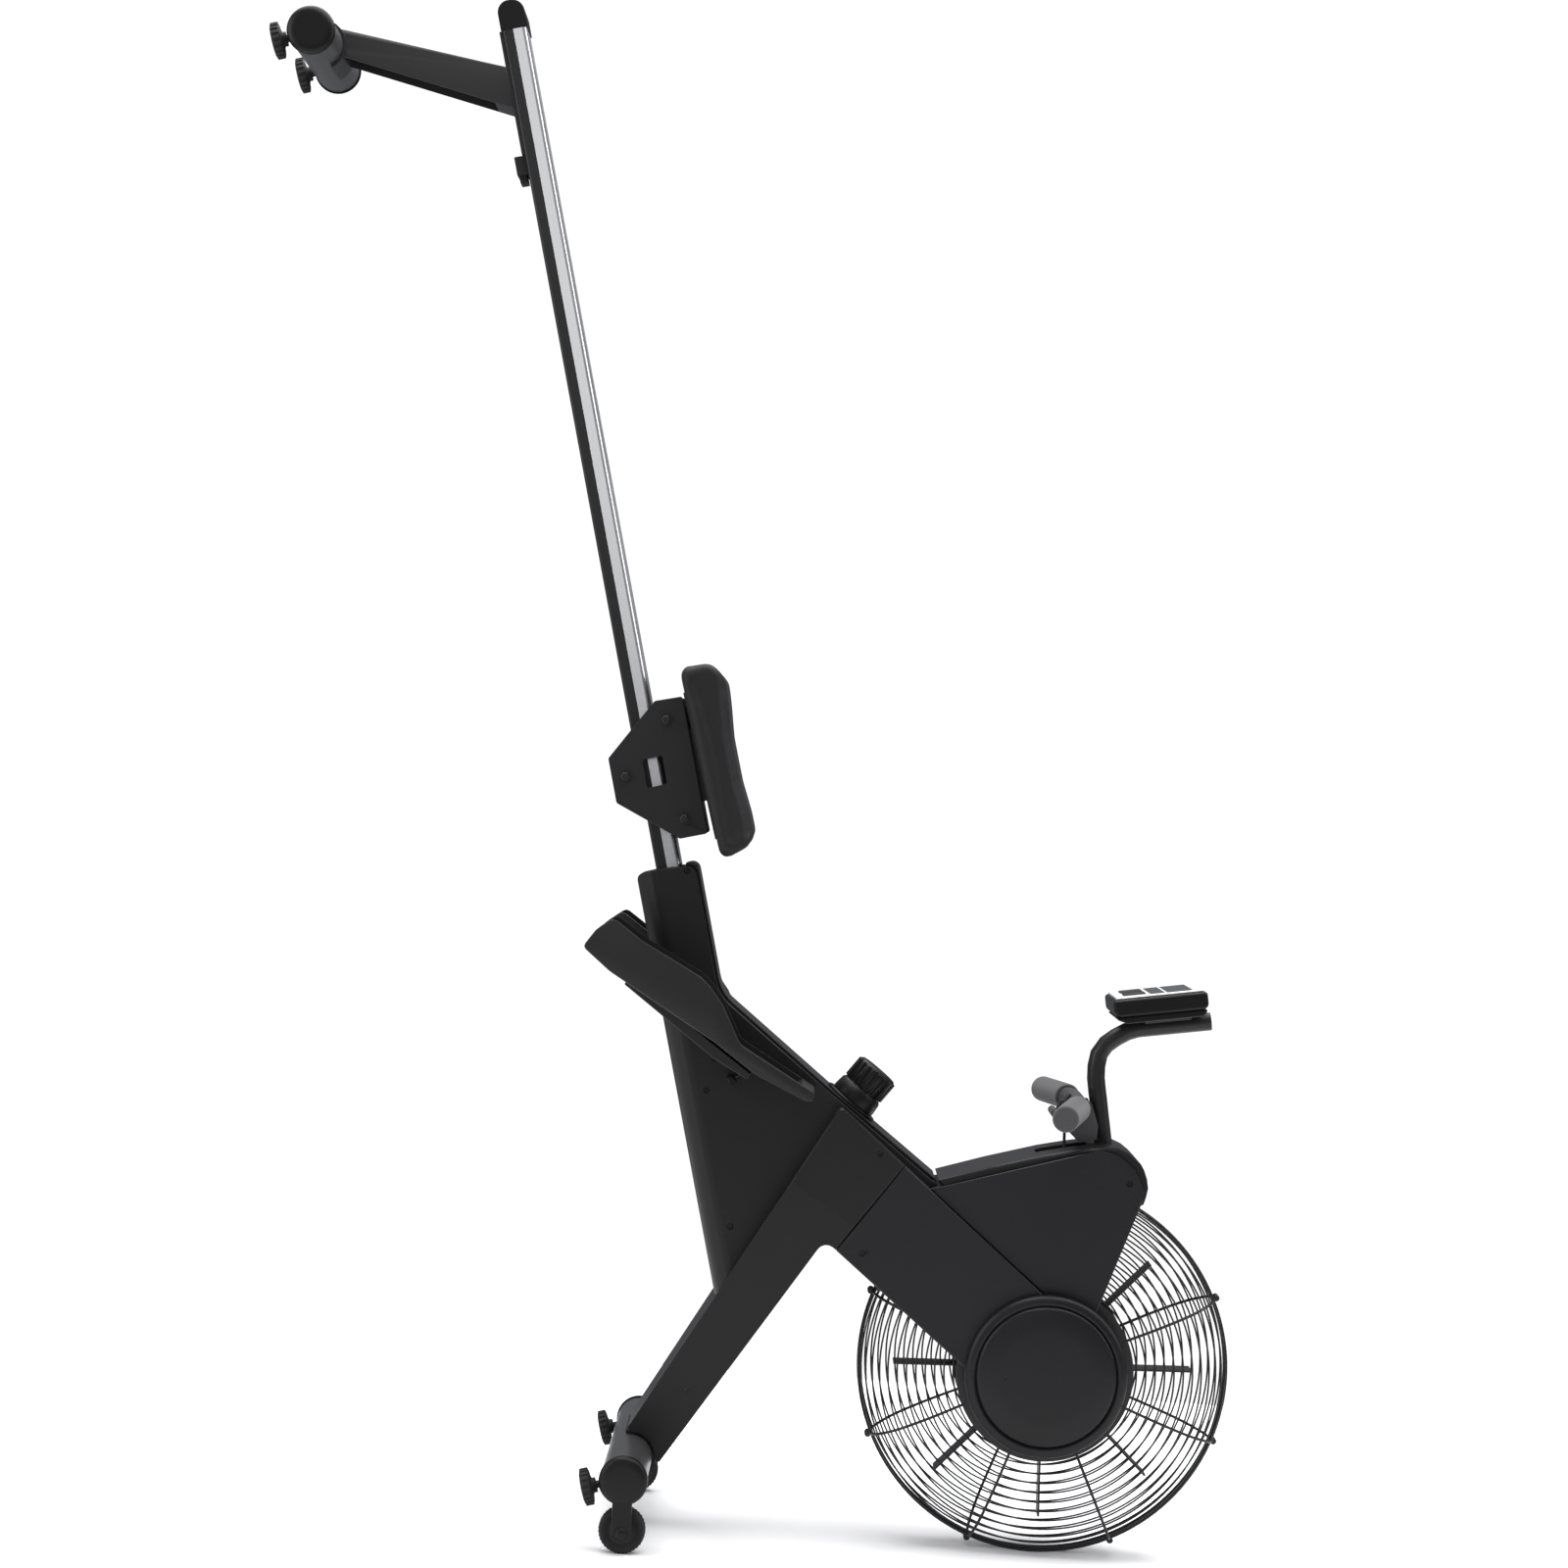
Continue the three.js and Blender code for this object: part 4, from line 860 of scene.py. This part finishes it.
def puff(piece, pressure, cap):
    """Fills a closed skin with air, holding its underside and capping how far it swells."""
    held = piece.vertex_groups.new(name="board")
    below = [v.index for v in piece.data.vertices if v.normal.dot(UPWARD) < -0.6]
    held.add(below, 1.0, "REPLACE")
    cloth = piece.modifiers.new("skin", "CLOTH")
    cloth.settings.quality = 6
    cloth.settings.mass = 0.25
    cloth.settings.use_pressure = True
    cloth.settings.uniform_pressure_force = pressure
    cloth.settings.effector_weights.gravity = 0
    cloth.settings.vertex_group_mass = "board"
    before = [v.co.copy() for v in piece.data.vertices]
    for step in range(1, 21):
        bpy.context.scene.frame_set(step)
    plain_mesh(piece)
    for vertex, start in zip(piece.data.vertices, before):
        move = vertex.co - start
        if move.length > cap:
            vertex.co = start + move * (cap / move.length)
    piece.vertex_groups.clear()
    bpy.context.scene.frame_set(1)


pad_mesh = frame["nodes"]["seat_pad"].data.copy()
pad = bpy.data.objects.new("seat_cushion", pad_mesh)
bpy.context.scene.collection.objects.link(pad)
tidy_mesh(pad_mesh, 40)
voxels = pad.modifiers.new("voxels", "REMESH")
voxels.mode = "VOXEL"
voxels.voxel_size = 0.0045
ease = pad.modifiers.new("ease", "SMOOTH")
ease.factor = 0.5
ease.iterations = 14
plain_mesh(pad)
puff(pad, 4.0, PAD_CAP)
fine = pad.modifiers.new("fine", "SUBSURF")
fine.levels = 1
fine.render_levels = 1
plain_mesh(pad)
pad.data.shade_smooth()
stands_for(pad, pad_skin, "seat_skin", "seat_pad")


# ------------------------------------------------------------------ foot rests
# Deep trays moulded in black plastic slide on a steel base at each side. Raised ribs grip
# the sole at the toe, and a pin with a small cross bar locks the tray.
tray_moulding = moulding("tray_moulding", (0.0125, 0.0125, 0.013), 0.4)
for side_name in SIDES:
    dress("foot_tray_" + side_name, tray_moulding, "black_plastic", edge=0.5)
    dress("foot_base_" + side_name, black_coat, "black_steel", edge=0.4)
    dress("foot_pin_" + side_name, jet, "black_plastic", edge=0.5)


# ------------------------------------------------------------------ handle, strap and cradle
# The handle is a bent steel bar with two thick foam grips. It rests in a steel cradle on
# the arm, and woven nylon webbing ties it to the drum through a slot.
def foam(name, colour):
    look = Finish(name, Specular_IOR_Level=0.25, Sheen_Weight=0.15, Sheen_Roughness=0.6)
    cell = look.node("TexVoronoi", {}, {"Vector": look.place, "Scale": 900.0})
    cloud = look.noise(0.05, 3.0)
    look.feed("Base Color", look.tones(shade(colour, 0.8), shade(colour, 1.15), cloud))
    look.feed("Roughness", cloud * 0.1 + 0.8)
    look.feed("Normal", look.relief(cell, 0.00014, look.relief(cloud, 0.0004)))
    return look.material


grip_foam = foam("grey_foam", (0.045, 0.045, 0.0465))
dress("handle_bar", bar_coat, "grey_steel", angle=50)
dress("handle_cradle", bar_coat, "grey_steel", edge=0.5)
for side_name in SIDES:
    dress("handle_grip_" + side_name, grip_foam, "grey_foam", angle=40)


def woven(name, colour):
    look = Finish(name, Specular_IOR_Level=0.3)
    settings = {"bands_direction": "Y", "wave_profile": "SIN"}
    weft = look.node("TexWave", settings, {"Vector": look.place, "Scale": 260.0})
    settings = {"bands_direction": "Z", "wave_profile": "SIN"}
    warp = look.node("TexWave", settings, {"Vector": look.place, "Scale": 210.0})
    weave = weft * 0.5 + warp * 0.5
    look.feed("Base Color", look.tones(shade(colour, 0.6), shade(colour, 1.4), weave))
    look.feed("Roughness", 0.9 - weave * 0.15)
    look.feed("Normal", look.relief(weave, 0.0003))
    return look.material


webbing = woven("black_webbing", (0.012, 0.012, 0.0125))


# The strap's middle line, from the handle bar over the guide roller to the drum. Its free
# stretch is in short steps, because it grows as the handle is pulled.
def arc_of(centre, radius, start, end, steps):
    turns = [math.radians(start + (end - start) * step / steps) for step in range(steps + 1)]
    return [(centre[0] + radius * math.cos(t), centre[1] + radius * math.sin(t)) for t in turns]


STRAP_HALF = 12.5
STRAP_THICK = 2.4
STRAP_STEPS = 80
HANDLE_AT, HANDLE_REACH = (-333, 757), 15.5
GUIDE_AT, GUIDE_REACH = (-262, 714), 10.5
DRUM_AT, DRUM_REACH = (-294, 440), 38.8
at_handle = arc_of(HANDLE_AT, HANDLE_REACH, 200, 254, 12)
at_guide = arc_of(GUIDE_AT, GUIDE_REACH, 106, 0, 16)
at_drum = arc_of(DRUM_AT, DRUM_REACH, 0, -300, 72)
leaving, arriving = Vector(at_handle[-1]), Vector(at_guide[0])
free_run = [leaving.lerp(arriving, step / STRAP_STEPS) for step in range(1, STRAP_STEPS)]
strap_line = [Vector(spot) for spot in at_handle] + free_run
strap_line += [Vector(spot) for spot in at_guide + at_drum]


def ribbon(name, line, half, thick):
    """A flat band along a line ahead and up, with its width to the left and right."""
    vertices = []
    for spot, before, after in zip(line, [line[0], *line[:-1]], [*line[1:], line[-1]]):
        way = (after - before).normalized()
        off = Vector((-way.y, way.x)) * (thick / 2)
        for side, out in ((-1, 1), (1, 1), (1, -1), (-1, -1)):
            place = spot + off * out
            vertices.append((place.x, side * half, place.y))
    last = len(line) - 1
    faces = [(0, 1, 2, 3), (4 * last + 3, 4 * last + 2, 4 * last + 1, 4 * last)]
    for row in range(last):
        for edge in range(4):
            near, next_one = 4 * row + edge, 4 * row + (edge + 1) % 4
            faces.append((near, near + 4, next_one + 4, next_one))
    return new_piece(name, vertices, faces, placing=STAND, angle=40)


strap = ribbon("pull_webbing", strap_line, STRAP_HALF, STRAP_THICK)
paint(strap, webbing)
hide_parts("pull_strap")
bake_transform(strap)


# ------------------------------------------------------------------ resistance knob
# A fluted knob with a flared skirt stands on a round flange on the body's upper face.
KNOB_WAY = (-0.6033, 0, 0.7975)
KNOB_AT = (-403, 0, 456)
KNOB_PROFILE = [(0, 0.3), (32.5, 0.3), (33.5, 1.2), (33.5, 5), (32, 18.6), (29.8, 20.8), (29, 22)]
KNOB_PROFILE += [(29.4, 23.4), (29.4, 52), (28.6, 54.6), (26.4, 56.2), (22, 56.8)]
KNOB_PROFILE += [(20, 56), (0, 56)]
KNOB_FLUTES = 18
knob_rib = rib_part("knob_rib", 3.4, 7.4, 30.5, 1.0)
knob = ribbed("knob", KNOB_PROFILE, KNOB_AT, KNOB_WAY, knob_rib, KNOB_FLUTES, 29.6, 38.2, jet, 96)
stands_for(knob, jet, "black_plastic", "brake_knob")
FLANGE = [(0, -3.8), (40, -3.8), (40.2, -2.4), (39.4, -0.8), (37.6, 0), (0, 0)]
flange = turned("knob_ring", FLANGE, KNOB_AT, KNOB_WAY, 96)
stands_for(flange, jet, "black_plastic", "knob_flange")


# ------------------------------------------------------------------ console
# A bent black tube holds the console case. Its silver face has a long dark display and two
# soft black keys.
dress("console_post", black_coat, "black_steel", angle=40)
dress("console_body", jet, "black_plastic", angle=40)


def satin(name, colour):
    look = Finish(name, Metallic=0.15, Specular_IOR_Level=0.5)
    cloud = look.noise(0.08, 2.0)
    look.feed("Base Color", look.tones(shade(colour, 0.92), shade(colour, 1.04), cloud))
    look.feed("Roughness", cloud * 0.08 + 0.3)
    look.feed("Normal", look.relief(look.noise(0.0006, 1.0), 0.00001))
    return look.material


silver = satin("satin_silver", (0.66, 0.66, 0.67))
dress("console_face", silver, "silver_face", edge=0.3)
for key in ("console_key_1", "console_key_2"):
    dress(key, rubber, "black_plastic", edge=1.0)

CONSOLE_AT = Vector((-447, 894.5))
CONSOLE_TILT = math.radians(6.7)
FACE_AT = -15
PANE_HALF = 60
PANE_RISE = 0.5
BACK_HALF = 70


def on_console(outline):
    """Turns points given in depth and height on the console to the machine's side view."""
    turn = Matrix.Rotation(-CONSOLE_TILT, 2)
    return [tuple(turn @ Vector(point) + CONSOLE_AT) for point in outline]


# Two panes of smoked glass cover the display, and a moulded back hides the bracket.
def smoked_glass(name):
    look = Finish(name, Specular_IOR_Level=0.6, Coat_Roughness=0.03)
    cloud = look.noise(0.05, 2.0)
    look.feed("Base Color", look.tones((0.0015, 0.0015, 0.0018), (0.004, 0.004, 0.005), cloud))
    look.feed("Roughness", cloud * 0.04 + 0.06)
    return look.material


glass = smoked_glass("display_glass")
panes = []
for low, high in ((-12, 8), (11, 46)):
    front, behind = FACE_AT - PANE_RISE, FACE_AT + PANE_RISE
    outline = [(front, low), (front, high), (behind, high), (behind, low)]
    panes.append(plate("pane", on_console(outline), -PANE_HALF, PANE_HALF, 0.3))
merge(*panes)
display = panes[0]
display.name = "console_display"
paint(display, glass)
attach(display, "frame")

BACK_OUTLINE = [(12.3, -62), (12.3, 62), (16, 62), (21.5, 56), (21.5, -48), (16, -60)]
console_back = plate("console_back", on_console(BACK_OUTLINE), -BACK_HALF, BACK_HALF, 2.2)
paint(console_back, jet)
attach(console_back, "frame")


# ------------------------------------------------------------------ floor, light and camera
# A plain white floor under soft light from a wide overhead panel and two side panels.
def floor_paint():
    look = Finish("floor_white", Specular_IOR_Level=0.1)
    cloud = look.noise(1.5, 2.0)
    look.feed("Base Color", look.tones((0.93, 0.93, 0.93), (0.95, 0.95, 0.95), cloud))
    look.feed("Roughness", cloud * 0.05 + 0.85)
    return look.material


corners = [(-2.6, -3.0, 0), (2.6, -3.0, 0), (2.6, 1.3, 0), (-2.6, 1.3, 0)]
floor = new_piece("floor", corners, [(0, 1, 2, 3)])
floor.data.materials.append(floor_paint())


def panel_light(name, place, target, size, power):
    lamp = bpy.data.lights.new(name, "AREA")
    lamp.shape = "RECTANGLE"
    lamp.size, lamp.size_y = size
    lamp.energy = power
    light = bpy.data.objects.new(name, lamp)
    light.location = place
    way = Vector(target) - Vector(place)
    light.rotation_euler = way.to_track_quat("-Z", "Y").to_euler()
    bpy.context.scene.collection.objects.link(light)


panel_light("overhead", (0.3, 0.2, 4.2), (0.1, 0, 0), (5.0, 4.6), 400)
panel_light("left_panel", (-3.4, -1.6, 2.0), (0, 0, 0.9), (2.4, 3.2), 90)
panel_light("right_panel", (3.2, -0.6, 2.2), (0.3, 0, 0.6), (1.4, 2.6), 40)
panel_light("front_panel", (-0.6, -5.4, 2.4), (0.1, 0, 1.0), (3.0, 2.6), 22)

world = bpy.data.worlds.new("studio")
bpy.context.scene.world = world
world.use_nodes = True
sky = world.node_tree
dim = sky.nodes["Background"]
dim.inputs["Color"].default_value = (0.9, 0.92, 1.0, 1)
dim.inputs["Strength"].default_value = 0.25
bright = sky.nodes.new("ShaderNodeBackground")
bright.inputs["Color"].default_value = (1, 1, 1, 1)
bright.inputs["Strength"].default_value = 1.05
path = sky.nodes.new("ShaderNodeLightPath")
either = sky.nodes.new("ShaderNodeMixShader")
sky.links.new(path.outputs["Is Camera Ray"], either.inputs[0])
sky.links.new(dim.outputs[0], either.inputs[1])
sky.links.new(bright.outputs[0], either.inputs[2])
sky.links.new(either.outputs[0], sky.nodes["World Output"].inputs[0])
bpy.context.scene.view_settings.view_transform = "Standard"

lens = bpy.data.cameras.new("camera")
lens.lens = 83.25
lens.sensor_width = 36.0
lens.shift_x = -0.01375
lens.shift_y = -0.0094
camera = bpy.data.objects.new("camera", lens)
bpy.context.scene.collection.objects.link(camera)
ROLL = math.radians(4.204)
right = Vector((math.cos(ROLL), 0, math.sin(ROLL)))
above = Vector((-math.sin(ROLL), 0, math.cos(ROLL)))
camera.matrix_world = Matrix.Translation((0.0763, -5.0, 1.05)) @ (
    Matrix((right, above, Vector((0, -1, 0)))).transposed().to_4x4()
)
bpy.context.scene.camera = camera
